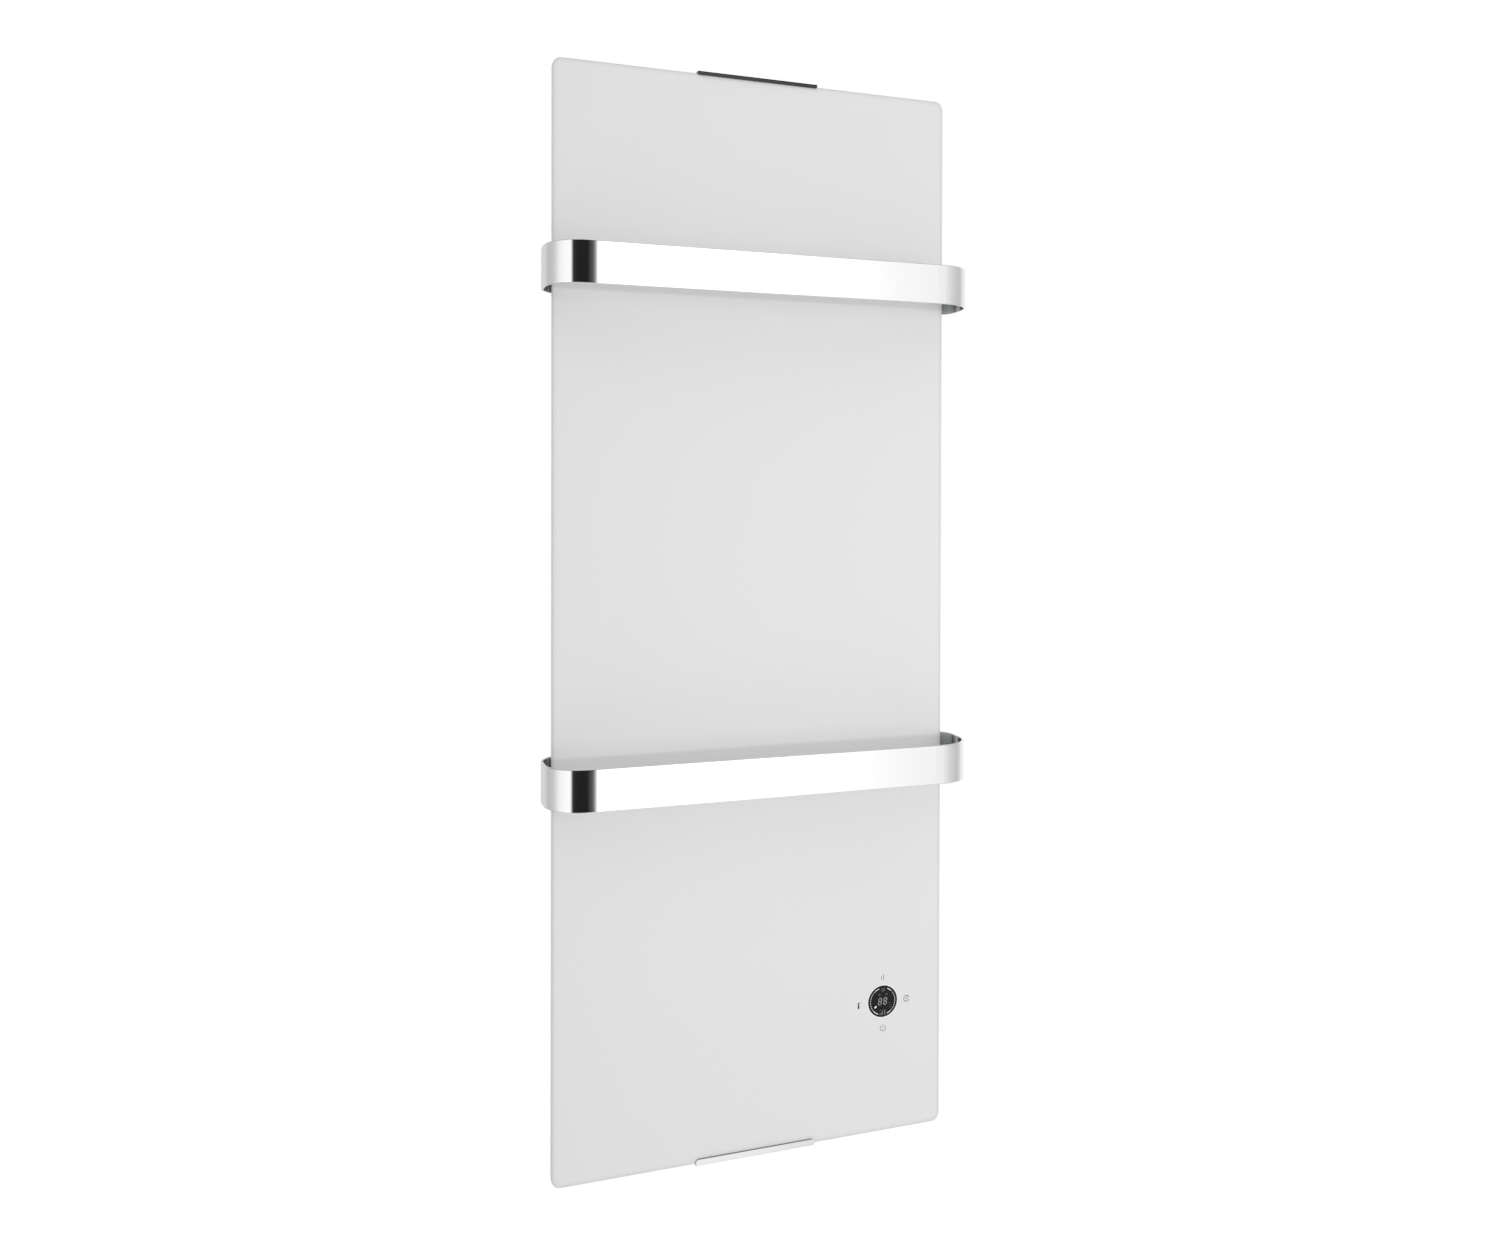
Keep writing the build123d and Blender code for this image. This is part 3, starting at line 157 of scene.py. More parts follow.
# %% The surroundings
room_walls = [
    (-180, 0.70), (-150, 0.80), (-125, 0.62), (-103, 0.69), (-91, 0.86), (-80, 1.08), (-60, 1.22),
    (-42, 1.26), (-36, 0.005), (-10, 0.005), (-4, 0.03), (1, 0.14), (6, 0.7), (10, 1.8), (19, 1.8),
    (22, 1.42), (24, 1.27), (27.6, 1.10), (42, 1.08), (59, 0.86), (78, 0.64), (95, 0.76), (108, 1.0),
    (140, 1.0), (180, 0.70),
]
room_heights = [
    (-90, 0.50), (-45, 0.56), (-29, 0.62), (-21, 1.0), (24, 1.0), (34, 0.30), (60, 0.24), (90, 0.30),
]
wall_gain = 2.0
steep_light, level_light = 1.20, 0.15

world = bpy.data.worlds.new("studio")
bpy.context.scene.world = world
world.use_nodes = True
room = world.node_tree
room.nodes.clear()
ray_direction = add_node(room, "ShaderNodeTexCoord", (-6, 0))
split = add_node(room, "ShaderNodeSeparateXYZ", (-5, 0), ray_direction.outputs["Generated"])
toward_room = number_node(room, (-4, 1), "MULTIPLY", split.outputs["Y"], -1.0)
azimuth = number_node(room, (-3, 1), "ARCTAN2", split.outputs["X"], toward_room.outputs[0])
azimuth_share = add_node(room, "ShaderNodeMapRange", (-2, 1), azimuth.outputs[0], -math.pi, math.pi)
wall_ramp = add_node(room, "ShaderNodeValToRGB", (-1, 1), azimuth_share.outputs[0])
set_ramp(wall_ramp, [((turn + 180) / 360, light / wall_gain) for turn, light in room_walls])
height = number_node(room, (-4, -1), "ARCSINE", split.outputs["Z"])
quarter = math.pi / 2
height_share = add_node(room, "ShaderNodeMapRange", (-3, -1), height.outputs[0], -quarter, quarter)
height_ramp = add_node(room, "ShaderNodeValToRGB", (-2, -1), height_share.outputs[0])
set_ramp(height_ramp, [((rise + 90) / 180, share) for rise, share in room_heights])
room_colour = mix_colours(
    room, (0, 0), 1.0, wall_ramp.outputs[0], height_ramp.outputs[0], blend_type="MULTIPLY")

white = (1, 1, 1, 1)
shown_to_camera = add_node(room, "ShaderNodeBackground", (1, 2), white)
shown_to_mirrors = add_node(room, "ShaderNodeBackground", (1, 0), room_colour.outputs[2], wall_gain)
steepness = number_node(room, (-3, -3), "ABSOLUTE", split.outputs["Z"])
soft_strength = number_node(
    room, (-2, -3), "MULTIPLY_ADD", steepness.outputs[0], steep_light, level_light)
soft_light = add_node(room, "ShaderNodeBackground", (1, -2), white, soft_strength.outputs[0])
rays = add_node(room, "ShaderNodeLightPath", (0, 3))
mirror_or_light = add_node(room, "ShaderNodeMixShader", (2, 0), rays.outputs["Is Glossy Ray"],
                           soft_light.outputs[0], shown_to_mirrors.outputs[0])
seen = number_node(
    room, (1, 3), "MAXIMUM", rays.outputs["Is Camera Ray"], rays.outputs["Is Transmission Ray"])
camera_or_rest = add_node(room, "ShaderNodeMixShader", (3, 1), seen.outputs[0],
                          mirror_or_light.outputs[0], shown_to_camera.outputs[0])
add_node(room, "ShaderNodeOutputWorld", (4, 1), camera_or_rest.outputs[0])
bpy.context.scene.view_settings.view_transform = "Standard"
print("room with", len(room_walls), "wall stops and", len(room_heights), "height stops")

# %% [markdown]
# ## The lamps
# Three lamps model the form. A wide one on the right makes the glass a little paler towards that
# side. A small one far in front draws the faint bands that the photograph shows on the glass beside
# each bar. A last one lights the housing from behind. They are kept out of reflections, because the
# room above already gives those.

# %% Add the lamps
def soft_lamp(name, place, aim, size, power):
    """Area lamp of a width and height in metres and a power in watts at a place, turned so that its
    face looks at the aim point."""
    light = bpy.data.lights.new(name, "AREA")
    light.shape = "RECTANGLE"
    light.size, light.size_y = size
    light.energy = power
    lamp = bpy.data.objects.new(name, light)
    bpy.context.scene.collection.objects.link(lamp)
    aside, ahead, up = np.array(aim) - np.array(place)
    tilt = math.atan2(math.hypot(ahead, aside), -up)
    turn = math.atan2(ahead, aside) - math.pi / 2
    lamp.location = place
    lamp.rotation_euler = (tilt, 0, turn)
    lamp.visible_glossy = False


soft_lamp("right_lamp", place=(1.4, -1.8, 0.0), aim=(0.1, -0.06, 0.0), size=(1.2, 1.2), power=12)
soft_lamp("far_lamp", place=(0.9, -5.4, -0.05), aim=(0.0, -0.06, 0.0), size=(0.4, 0.3), power=40)
soft_lamp("rear_lamp", place=(-1.4, 2.2, 1.2), aim=(0.0, 0.0, 0.0), size=(2.0, 2.0), power=45)

# %% [markdown]
# ## The floor
# The heater hangs on a wall, so the floor lies about a metre below it. It is a pale disc that fades
# out at its rim, made as a polar grid: rings of points at growing radius.

# %% Make the floor
def mesh_from_grid(name, grid, close_columns=False, close_rows=False):
    """Mesh from an array of points in rows and columns, with a quad between each four neighbours.
    Closed columns join the last column to the first, closed rows the last row to the first."""
    rows, columns = grid.shape[:2]
    index = np.arange(rows * columns).reshape(rows, columns)
    if close_columns:
        index = np.concatenate([index, index[:, :1]], axis=1)
    if close_rows:
        index = np.concatenate([index, index[:1]], axis=0)
    quads = np.stack([index[:-1, :-1], index[:-1, 1:], index[1:, 1:], index[1:, :-1]], axis=-1)
    mesh = bpy.data.meshes.new(name)
    mesh.from_pydata(grid.reshape(-1, 3).tolist(), [], quads.reshape(-1, 4).tolist())
    mesh.update()
    return mesh


floor_level = -1.60
floor_radius, centre_hole = 1.15, 0.001
ring_count, turn_count = 24, 96
floor_rings = np.linspace(centre_hole, floor_radius, ring_count)[:, None]
floor_turns = np.linspace(0, 2 * np.pi, turn_count, endpoint=False)[None, :]
floor_grid = np.stack(
    [
        floor_rings * np.cos(floor_turns),
        floor_rings * np.sin(floor_turns),
        np.full((ring_count, turn_count), floor_level),
    ],
    axis=-1,
)
floor = bpy.data.objects.new("floor", mesh_from_grid("floor", floor_grid, close_columns=True))
bpy.context.scene.collection.objects.link(floor)
floor_paint, sheet, floor_surface = new_material("pale_floor")
floor_surface.inputs["Base Color"].default_value = (0.93, 0.93, 0.93, 1)
floor_surface.inputs["Roughness"].default_value = 0.9
where = add_node(sheet, "ShaderNodeTexCoord", (-6, 1))
flat_place = vector_node(sheet, (-5, 1), "MULTIPLY", where.outputs["Object"], (1, 1, 0))
reach = vector_node(sheet, (-4, 1), "LENGTH", flat_place.outputs[0])
fade = add_node(sheet, "ShaderNodeMapRange", (-3, 1), reach.outputs["Value"], floor_radius / 2,
                floor_radius, 1.0, 0.0, interpolation_type="SMOOTHSTEP")
sheet.links.new(fade.outputs[0], floor_surface.inputs["Alpha"])
floor.data.materials.append(floor_paint)
print("floor disc", floor_radius, "m in radius")

# %% [markdown]
# ## Shader groups shared by many finishes
# Four small groups give surfaces their fine detail. Each is built once, reads object coordinates,
# and is placed in every material with its own numbers.
# * *Tone drift* makes a colour wander slowly over a sheet, as no real coat is quite even.
# * *Fine grain* is the pimpled skin of powder paint or moulded plastic.
# * *Brush lines* are long scratches: noise that changes slowly along the bar and fast across it.
# * *Border band* measures how far a point is from the rounded edge of a panel.

# %% Build the groups
def new_group(name, inputs, outputs):
    """Empty shader node group with named input and output sockets."""
    group = bpy.data.node_groups.new(name, "ShaderNodeTree")
    for label, kind, value in inputs:
        socket = group.interface.new_socket(label, in_out="INPUT", socket_type=kind)
        socket.default_value = value
    for label, kind in outputs:
        group.interface.new_socket(label, in_out="OUTPUT", socket_type=kind)
    return group, add_node(group, "NodeGroupInput", (-6, 0)), add_node(group, "NodeGroupOutput", (6, 0))


def object_noise(group, given, detail):
    """Noise on object coordinates, as fine as the group's Scale input says."""
    place = add_node(group, "ShaderNodeTexCoord", (-5, 1))
    noise = add_node(group, "ShaderNodeTexNoise", (-4, 1), place.outputs["Object"])
    noise.inputs["Detail"].default_value = detail
    group.links.new(given.outputs["Scale"], noise.inputs["Scale"])
    return noise


def centre_on_zero(group, noise):
    """Noise runs from 0 to 1, so one half less brings its middle to zero."""
    return number_node(group, (-2, 1), "SUBTRACT", noise.outputs["Fac"], 0.5)


def give_height_and_roughness(group, given, result, noise):
    """Puts out the noise as a height, and as a roughness: the centred noise times the spread, plus
    the middle roughness."""
    centred = centre_on_zero(group, noise)
    rough = number_node(group, (1, 0), "MULTIPLY_ADD", centred.outputs[0], given.outputs["Spread"],
                        given.outputs["Roughness"], use_clamp=True)
    group.links.new(noise.outputs["Fac"], result.inputs["Height"])
    group.links.new(rough.outputs[0], result.inputs["Roughness"])


def build_tone_drift():
    """Colour times a slow noise that runs from one minus the amount to one plus the amount."""
    group, given, result = new_group(
        "Tone Drift",
        [("Colour", "NodeSocketColor", (0.8, 0.8, 0.8, 1)), ("Scale", "NodeSocketFloat", 6.0),
         ("Amount", "NodeSocketFloat", 0.03)],
        [("Colour", "NodeSocketColor")],
    )
    centred = centre_on_zero(group, object_noise(group, given, detail=3.0))
    double = number_node(group, (-2, -1), "MULTIPLY", given.outputs["Amount"], 2.0)
    swing = number_node(group, (-1, 1), "MULTIPLY_ADD", centred.outputs[0], double.outputs[0], 1.0)
    toned = vector_node(group, (1, 0), "SCALE", given.outputs["Colour"])
    group.links.new(swing.outputs[0], toned.inputs["Scale"])
    group.links.new(toned.outputs[0], result.inputs["Colour"])
    return group


def build_fine_grain():
    """Fine noise, given both as a height for bump and as a roughness around a middle value."""
    group, given, result = new_group(
        "Fine Grain",
        [("Scale", "NodeSocketFloat", 900.0), ("Roughness", "NodeSocketFloat", 0.45),
         ("Spread", "NodeSocketFloat", 0.1)],
        [("Height", "NodeSocketFloat"), ("Roughness", "NodeSocketFloat")],
    )
    give_height_and_roughness(group, given, result, object_noise(group, given, detail=2.0))
    return group


def build_brush_lines():
    """Noise on coordinates stretched by a three-part scale, so that it draws lines, not spots."""
    group, given, result = new_group(
        "Brush Lines",
        [("Stretch", "NodeSocketVector", (6.0, 6.0, 2400.0)), ("Roughness", "NodeSocketFloat", 0.3),
         ("Spread", "NodeSocketFloat", 0.15)],
        [("Height", "NodeSocketFloat"), ("Roughness", "NodeSocketFloat")],
    )
    place = add_node(group, "ShaderNodeTexCoord", (-5, 1))
    stretched = vector_node(group, (-4, 1), "MULTIPLY", place.outputs["Object"], given.outputs["Stretch"])
    noise = add_node(group, "ShaderNodeTexNoise", (-3, 1), stretched.outputs[0])
    for label, value in (("Scale", 1.0), ("Detail", 4.0), ("Roughness", 0.65)):
        noise.inputs[label].default_value = value
    give_height_and_roughness(group, given, result, noise)
    return group


def build_border_band():
    """Distance inwards from a rounded rectangle in the XZ plane: with q the point's absolute place
    less the straight half sizes, it is the corner radius less the length of q where q is positive,
    less the larger part of q where both parts are negative."""
    group, given, result = new_group(
        "Border Band",
        [("Half Size", "NodeSocketVector", (0.2, 0.0, 0.525)), ("Corner", "NodeSocketFloat", 0.009)],
        [("Inset", "NodeSocketFloat")],
    )
    corner = given.outputs["Corner"]
    place = add_node(group, "ShaderNodeTexCoord", (-5, 1))
    flat = vector_node(group, (-4, 1), "MULTIPLY", place.outputs["Object"], (1, 0, 1))
    size = vector_node(group, (-3, 1), "ABSOLUTE", flat.outputs[0])
    round_off = add_node(group, "ShaderNodeCombineXYZ", (-4, -1), corner, 0.0, corner)
    straight = vector_node(group, (-3, -1), "SUBTRACT", given.outputs["Half Size"], round_off.outputs[0])
    beyond = vector_node(group, (-2, 0), "SUBTRACT", size.outputs[0], straight.outputs[0])
    outside = vector_node(group, (-1, 1), "MAXIMUM", beyond.outputs[0], (0, 0, 0))
    corner_reach = vector_node(group, (0, 1), "LENGTH", outside.outputs[0])
    parts = add_node(group, "ShaderNodeSeparateXYZ", (-1, -1), beyond.outputs[0])
    larger = number_node(group, (0, -1), "MAXIMUM", parts.outputs["X"], parts.outputs["Z"])
    inner = number_node(group, (1, -1), "MINIMUM", larger.outputs[0], 0.0)
    total = number_node(group, (2, 0), "ADD", corner_reach.outputs["Value"], inner.outputs[0])
    inset = number_node(group, (3, 0), "SUBTRACT", corner, total.outputs[0])
    group.links.new(inset.outputs[0], result.inputs["Inset"])
    return group


tone_drift = build_tone_drift()
fine_grain = build_fine_grain()
brush_lines = build_brush_lines()
border_band = build_border_band()
print("groups:", [g.name for g in bpy.data.node_groups])

# %% [markdown]
# ## Plain coats: paint, plastic, rubber and board lacquer
# Most parts have one colour, a fine skin and a slight unevenness. One function makes all of them:
# the colour goes through *Tone drift*, the skin through *Fine grain*, and the grain's height feeds
# a bump node of real depth in metres.

# %% Coats
def use_group(tree, group, place, **values):
    """Places a shader group in a material and sets its named inputs."""
    node = add_node(tree, "ShaderNodeGroup", place)
    node.node_tree = group
    for key, value in values.items():
        node.inputs[key.replace("_", " ")].default_value = value
    return node


def roughen(tree, height, distance):
    """Bump node that turns a height from 0 to 1 into a relief of the given depth in metres."""
    bump = add_node(tree, "ShaderNodeBump", (-2, -2))
    bump.inputs["Distance"].default_value = distance
    bump.inputs["Strength"].default_value = 1.0
    tree.links.new(height, bump.inputs["Height"])
    tree.links.new(bump.outputs[0], tree.nodes["Principled BSDF"].inputs["Normal"])


def coat(name, colour, roughness, grain_scale, grain_depth, drift=0.03, drift_scale=8.0,
         spread=0.12, clear=0.0):
    """Even coat of one colour with a fine skin; grain depth is in metres."""
    material, tree, surface = new_material(name)
    surface.inputs["Metallic"].default_value = 0.0
    surface.inputs["Coat Weight"].default_value = clear
    surface.inputs["Coat Roughness"].default_value = 0.08
    surface.inputs["IOR"].default_value = 1.5
    tone = use_group(tree, tone_drift, (-4, 1), Colour=(*colour, 1), Scale=drift_scale, Amount=drift)
    grain = use_group(tree, fine_grain, (-4, -1), Scale=grain_scale, Roughness=roughness, Spread=spread)
    tree.links.new(tone.outputs["Colour"], surface.inputs["Base Color"])
    tree.links.new(grain.outputs["Roughness"], surface.inputs["Roughness"])
    roughen(tree, grain.outputs["Height"], grain_depth)
    return material


dressed = set()


def dress(material, *names):
    """Puts a material on every slot of the named solids."""
    for name in names:
        slots = nodes[name].data.materials
        if len(slots) == 0:
            slots.append(material)
        for index in range(len(slots)):
            slots[index] = material
    dressed.update(names)


white_powder = coat("white_powder_paint", (0.80, 0.80, 0.79), 0.42, 1100, 0.00006, drift=0.02, drift_scale=5)
black_moulding = coat("black_moulding", (0.022, 0.022, 0.023), 0.46, 1600, 0.00003, drift=0.10)
grey_moulding = coat("grey_moulding", (0.42, 0.43, 0.44), 0.50, 1500, 0.00003, drift=0.04)
nylon = coat("nylon_housing", (0.74, 0.73, 0.68), 0.42, 1300, 0.00002, drift=0.05)
black_rubber = coat("black_rubber", (0.028, 0.028, 0.028), 0.78, 700, 0.00006, drift=0.14, drift_scale=40)
foam_tape = coat("foam_tape", (0.06, 0.06, 0.06), 0.88, 500, 0.00010, drift=0.15, drift_scale=60)
touch_foam = coat("conductive_foam", (0.16, 0.16, 0.17), 0.90, 800, 0.00015, drift=0.2, drift_scale=90)
# The liners' dark grey is painted shadow: it draws the dark line of the gap along each clip's edge.
silicone_liner = coat("silicone_liner", (0.24, 0.24, 0.24), 0.40, 900, 0.00001, drift=0.05)
board_lacquer = coat("board_lacquer", (0.028, 0.16, 0.075), 0.34, 420, 0.00003, drift=0.10, drift_scale=30,
                     clear=0.5)
relay_case = coat("relay_case", (0.045, 0.047, 0.05), 0.38, 1200, 0.00002, drift=0.06)
winding_tape = coat("winding_tape", (0.62, 0.44, 0.06), 0.30, 260, 0.00004, drift=0.08, drift_scale=50,
                    clear=0.4)
film_dip = coat("film_dip", (0.05, 0.13, 0.36), 0.28, 240, 0.00005, drift=0.08, drift_scale=50, clear=0.6)
glazed_ceramic = coat("glazed_ceramic", (0.74, 0.70, 0.60), 0.24, 300, 0.00003, drift=0.05, drift_scale=70,
                      clear=0.7)
brown_insulation = coat("brown_insulation", (0.16, 0.065, 0.03), 0.48, 900, 0.00001, 0.06, 25)
blue_insulation = coat("blue_insulation", (0.03, 0.10, 0.34), 0.48, 900, 0.00001, 0.06, 25)
black_insulation = coat("black_insulation", (0.03, 0.03, 0.03), 0.50, 900, 0.00001, 0.08, 25)
grey_sheath = coat("grey_sheath", (0.24, 0.25, 0.26), 0.48, 900, 0.00001, 0.06, 25)

dress(white_powder, "back_cover")
dress(black_moulding, "cord_gland", "gland_nut", "switch_body", "switch_rocker", "display_module",
      "room_sensor")
dress(grey_moulding, "control_box", "sensor_holder")
dress(nylon, "board_connectors", "terminal_block")
dress(black_rubber, "wall_bumpers")
dress(foam_tape, "bonding_tape")
dress(touch_foam, "touch_pads")
dress(silicone_liner, "upper_clip_liner", "lower_clip_liner")
dress(board_lacquer, "power_board", "touch_board")
dress(relay_case, "power_relay")
dress(winding_tape, "board_transformer")
dress(film_dip, "mains_capacitor")
dress(glazed_ceramic, "element_bushes", "thermal_cutout")
dress(brown_insulation, "live_leads")
dress(blue_insulation, "neutral_lead")
dress(black_insulation, "element_leads")
dress(grey_sheath, "control_leads")
print("coats on", len(dressed), "solids")

# %% [markdown]
# ## The earth lead
# An earth lead is green with a yellow stripe that winds round it. A wave of stripes across the
# object, slanted to the lead, cuts it into the two colours.

# %% Green and yellow insulation
earth_green, earth_yellow = (0.06, 0.30, 0.05), (0.80, 0.66, 0.05)
stripe_scale, green_share = 55.0, 0.62


def tone_of(material):
    """The tone drift node of a coat."""
    return next(n for n in material.node_tree.nodes if n.type == "GROUP" and n.node_tree == tone_drift)


def two_colour_insulation():
    """Diagonal bands choose between green and yellow: green where the wave is under its share."""
    material = coat("earth_insulation", earth_green, 0.48, 900, 0.00001)
    tree = material.node_tree
    place = add_node(tree, "ShaderNodeTexCoord", (-8, 2))
    bands = add_node(tree, "ShaderNodeTexWave", (-7, 2), place.outputs["Object"], stripe_scale,
                     wave_type="BANDS", bands_direction="DIAGONAL")
    pick = add_node(tree, "ShaderNodeValToRGB", (-6, 2), bands.outputs["Fac"])
    pick.color_ramp.interpolation = "CONSTANT"
    set_ramp(pick, [(0.0, earth_green), (green_share, earth_yellow)])
    tree.links.new(pick.outputs[0], tone_of(material).inputs["Colour"])
    return material


dress(two_colour_insulation(), "earth_lead")
print("earth lead green over", green_share, "of each wave")

# %% [markdown]
# ## Brushed and rolled metal
# The towel bars are stainless strip, brushed along their length before they were bent. The brush
# lines are noise that hardly changes along X and Y and changes fast along Z, so they follow the
# bar round its bends. The metal is also rougher across the lines than along them, which Blender
# calls anisotropy: the highlight smears upwards and downwards. The tangent runs round the Z axis
# and is turned a quarter, so the smear is upright.

# %% Bare metal
def metal(name, colour, roughness, stretch, spread, depth, drift, drift_scale=10.0, anisotropic=0.0):
    """Bare metal with brush lines; stretch is the line pattern's scale along X, Y and Z, and depth
    is in metres."""
    material, tree, surface = new_material(name)
    surface.inputs["Metallic"].default_value = 1.0
    surface.inputs["Anisotropic"].default_value = anisotropic
    surface.inputs["Anisotropic Rotation"].default_value = 0.25
    tone = use_group(tree, tone_drift, (-4, 1), Colour=(*colour, 1), Scale=drift_scale, Amount=drift)
    lines = use_group(tree, brush_lines, (-4, -1), Stretch=stretch, Roughness=roughness, Spread=spread)
    tree.links.new(tone.outputs["Colour"], surface.inputs["Base Color"])
    tree.links.new(lines.outputs["Roughness"], surface.inputs["Roughness"])
    roughen(tree, lines.outputs["Height"], depth)
    if anisotropic:
        tangent = add_node(tree, "ShaderNodeTangent", (-2, -3), direction_type="RADIAL", axis="Z")
        tree.links.new(tangent.outputs[0], surface.inputs["Tangent"])
    return material


brushed_bar = metal("brushed_bar_steel", (0.80, 0.80, 0.80), 0.16, (5, 5, 2600), 0.10, 0.0000012, 0.015, 6,
                    anisotropic=0.9)
dress(brushed_bar, "upper_towel_rail", "lower_towel_rail")
bar_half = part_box("upper_towel_rail")[1][0]
print("each bar spans", round(bar_half * 2000), "mm")

# %% [markdown]
# A strip does not turn from flat to round at once: just outside the bending tool it springs back a
# little. The mirror image shows this as a dark stripe that starts before the round part. The solids
# have the plain bend, and a broad bump adds the rest.

# %% The start of the bend
bend_starts, bend_is_full = bar_half - 0.044, bar_half - 0.022
bend_drop = 0.0020


def ease_into_bend(material, start, end, drop):
    """Between start and end, measured out from the middle, an extra height falls by the drop along
    a smooth step, which tilts the mirror image."""
    tree = material.node_tree
    place = add_node(tree, "ShaderNodeTexCoord", (-8, -4))
    parts = add_node(tree, "ShaderNodeSeparateXYZ", (-7, -4), place.outputs["Object"])
    outwards = number_node(tree, (-6, -4), "ABSOLUTE", parts.outputs["X"])
    fall = add_node(tree, "ShaderNodeMapRange", (-5, -4), outwards.outputs[0], start, end, 1.0, 0.0,
                    interpolation_type="SMOOTHSTEP")
    bump = add_node(tree, "ShaderNodeBump", (-3, -4))
    bump.inputs["Distance"].default_value = drop
    tree.links.new(fall.outputs[0], bump.inputs["Height"])
    fine = next(n for n in tree.nodes if n.type == "BUMP" and n != bump)
    tree.links.new(bump.outputs[0], fine.inputs["Normal"])


ease_into_bend(brushed_bar, bend_starts, bend_is_full, bend_drop)
print("bend eased from", round(bend_starts * 1000), "to", round(bend_is_full * 1000), "mm")

# %% [markdown]
# The other metals differ in tone, in the direction of their lines and in how deep these are. The
# upper clip mirrors something dark in the photograph, so its steel gets a much darker tone.

# %% Clips, screws, sheets and brass
polished_clip = metal("polished_clip_steel", (0.74, 0.74, 0.74), 0.14, (900, 60, 60), 0.06, 0.0000004, 0.02)
shaded_clip = metal("shaded_clip_steel", (0.040, 0.040, 0.040), 0.14, (900, 60, 60), 0.06, 0.0000004, 0.02)
zinc_plate = metal("zinc_plate", (0.60, 0.59, 0.54), 0.30, (700, 700, 700), 0.20, 0.000002, 0.06, 60)
galvanised = metal("galvanised_sheet", (0.56, 0.58, 0.59), 0.38, (90, 90, 90), 0.28, 0.000004, 0.10, 45)
fin_metal = metal("extruded_aluminium", (0.70, 0.71, 0.72), 0.34, (20, 1500, 1500), 0.16, 0.000003, 0.04,
                  14)
bright_sheet = metal("bright_aluminium_sheet", (0.82, 0.82, 0.83), 0.16, (1800, 30, 12), 0.10, 0.000001,
                     0.03, 8)
plain_brass = metal("plain_brass", (0.66, 0.47, 0.18), 0.30, (500, 500, 500), 0.16, 0.000002, 0.06, 60)
heat_darkened = metal("heat_darkened_tube", (0.20, 0.18, 0.16), 0.44, (30, 800, 800), 0.18, 0.000002, 0.16,
                      22)

dress(polished_clip, "lower_glass_clip")
dress(shaded_clip, "upper_glass_clip")
dress(zinc_plate, "clip_screws", "cover_screws", "rail_standoffs", "rail_screws", "bumper_screws",
      "bracket_screws", "reflector_posts", "reflector_screws", "control_screws", "touch_board_screws",
      "board_screws")
dress(galvanised, "chassis_plate", "upper_wall_bracket", "lower_wall_bracket", "element_brackets",
      "cutout_bracket")
dress(fin_metal, "lower_element_fins", "upper_element_fins")
dress(bright_sheet, "reflector_plate")
dress(plain_brass, "board_posts", "terminal_screws", "earth_stud", "earth_nut", "switch_spades")
dress(heat_darkened, "lower_heater_rod", "upper_heater_rod")
print("coats and metals on", len(dressed), "solids")

# %% [markdown]
# ## The glass
# The panel is clear tempered glass printed white on its back. Seen from the front the print fills
# it, and the clear layer adds a soft mirror image of the room. The print thins out towards the edge,
# so a narrow band along the rim looks a little darker, and the ground arris draws a fine grey line.
# The side of the sheet shows the green-grey tint of the glass itself. *Border band* tells the
# shader how far each point lies from the rim, and the Y coordinate tells the face from the side.

# %% White printed glass
glass_corner = 0.009
rim_width = 0.006
front_share = 0.004


def printed_glass():
    """White print under clear glass, a darker rim, a grey arris line and a tinted side."""
    low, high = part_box("glass_panel")
    half_width, half_height = (high[0] - low[0]) / 2, (high[2] - low[2]) / 2
    material, tree, surface = new_material("printed_glass")
    surface.inputs["IOR"].default_value = 1.50
    surface.inputs["Coat Weight"].default_value = 0.3
    surface.inputs["Coat Roughness"].default_value = 0.03
    tone = use_group(tree, tone_drift, (-6, 2), Colour=(0.77, 0.77, 0.77, 1), Scale=3.0, Amount=0.012)
    inset = use_group(tree, border_band, (-6, 0))
    inset.inputs["Half Size"].default_value = (half_width, 0, half_height)
    inset.inputs["Corner"].default_value = glass_corner
    reach = add_node(tree, "ShaderNodeMapRange", (-5, 0), inset.outputs["Inset"], 0.0, rim_width)
    rim = add_node(tree, "ShaderNodeValToRGB", (-4, 0), reach.outputs[0])
    set_ramp(rim, [(0.0, 0.55), (0.11, 0.62), (0.17, 0.87), (0.35, 0.93), (0.80, 1.0)])
    face = mix_colours(
        tree, (-3, 1), 1.0, tone.outputs["Colour"], rim.outputs[0], blend_type="MULTIPLY")
    place = add_node(tree, "ShaderNodeTexCoord", (-6, -2))
    split_place = add_node(tree, "ShaderNodeSeparateXYZ", (-5, -2), place.outputs["Object"])
    through = add_node(tree, "ShaderNodeMapRange", (-4, -2), split_place.outputs["Y"], low[1], high[1])
    side = add_node(tree, "ShaderNodeValToRGB", (-3, -2), through.outputs[0])
    set_ramp(side, [(0.0, (0.74, 0.75, 0.75)), (0.12, (0.70, 0.73, 0.72)), (0.86, (0.66, 0.70, 0.69)),
                    (0.92, (0.80, 0.81, 0.80)), (1.0, (0.80, 0.81, 0.80))])
    is_side = number_node(tree, (-3, -1), "GREATER_THAN", through.outputs[0], front_share)
    colour = mix_colours(tree, (-1, 0), is_side.outputs[0], face.outputs[2], side.outputs[0])
    tree.links.new(colour.outputs[2], surface.inputs["Base Color"])
    skin = use_group(tree, fine_grain, (-4, -3), Scale=260.0, Roughness=0.30, Spread=0.05)
    tree.links.new(skin.outputs["Roughness"], surface.inputs["Roughness"])
    roughen(tree, skin.outputs["Height"], 0.000003)
    return material


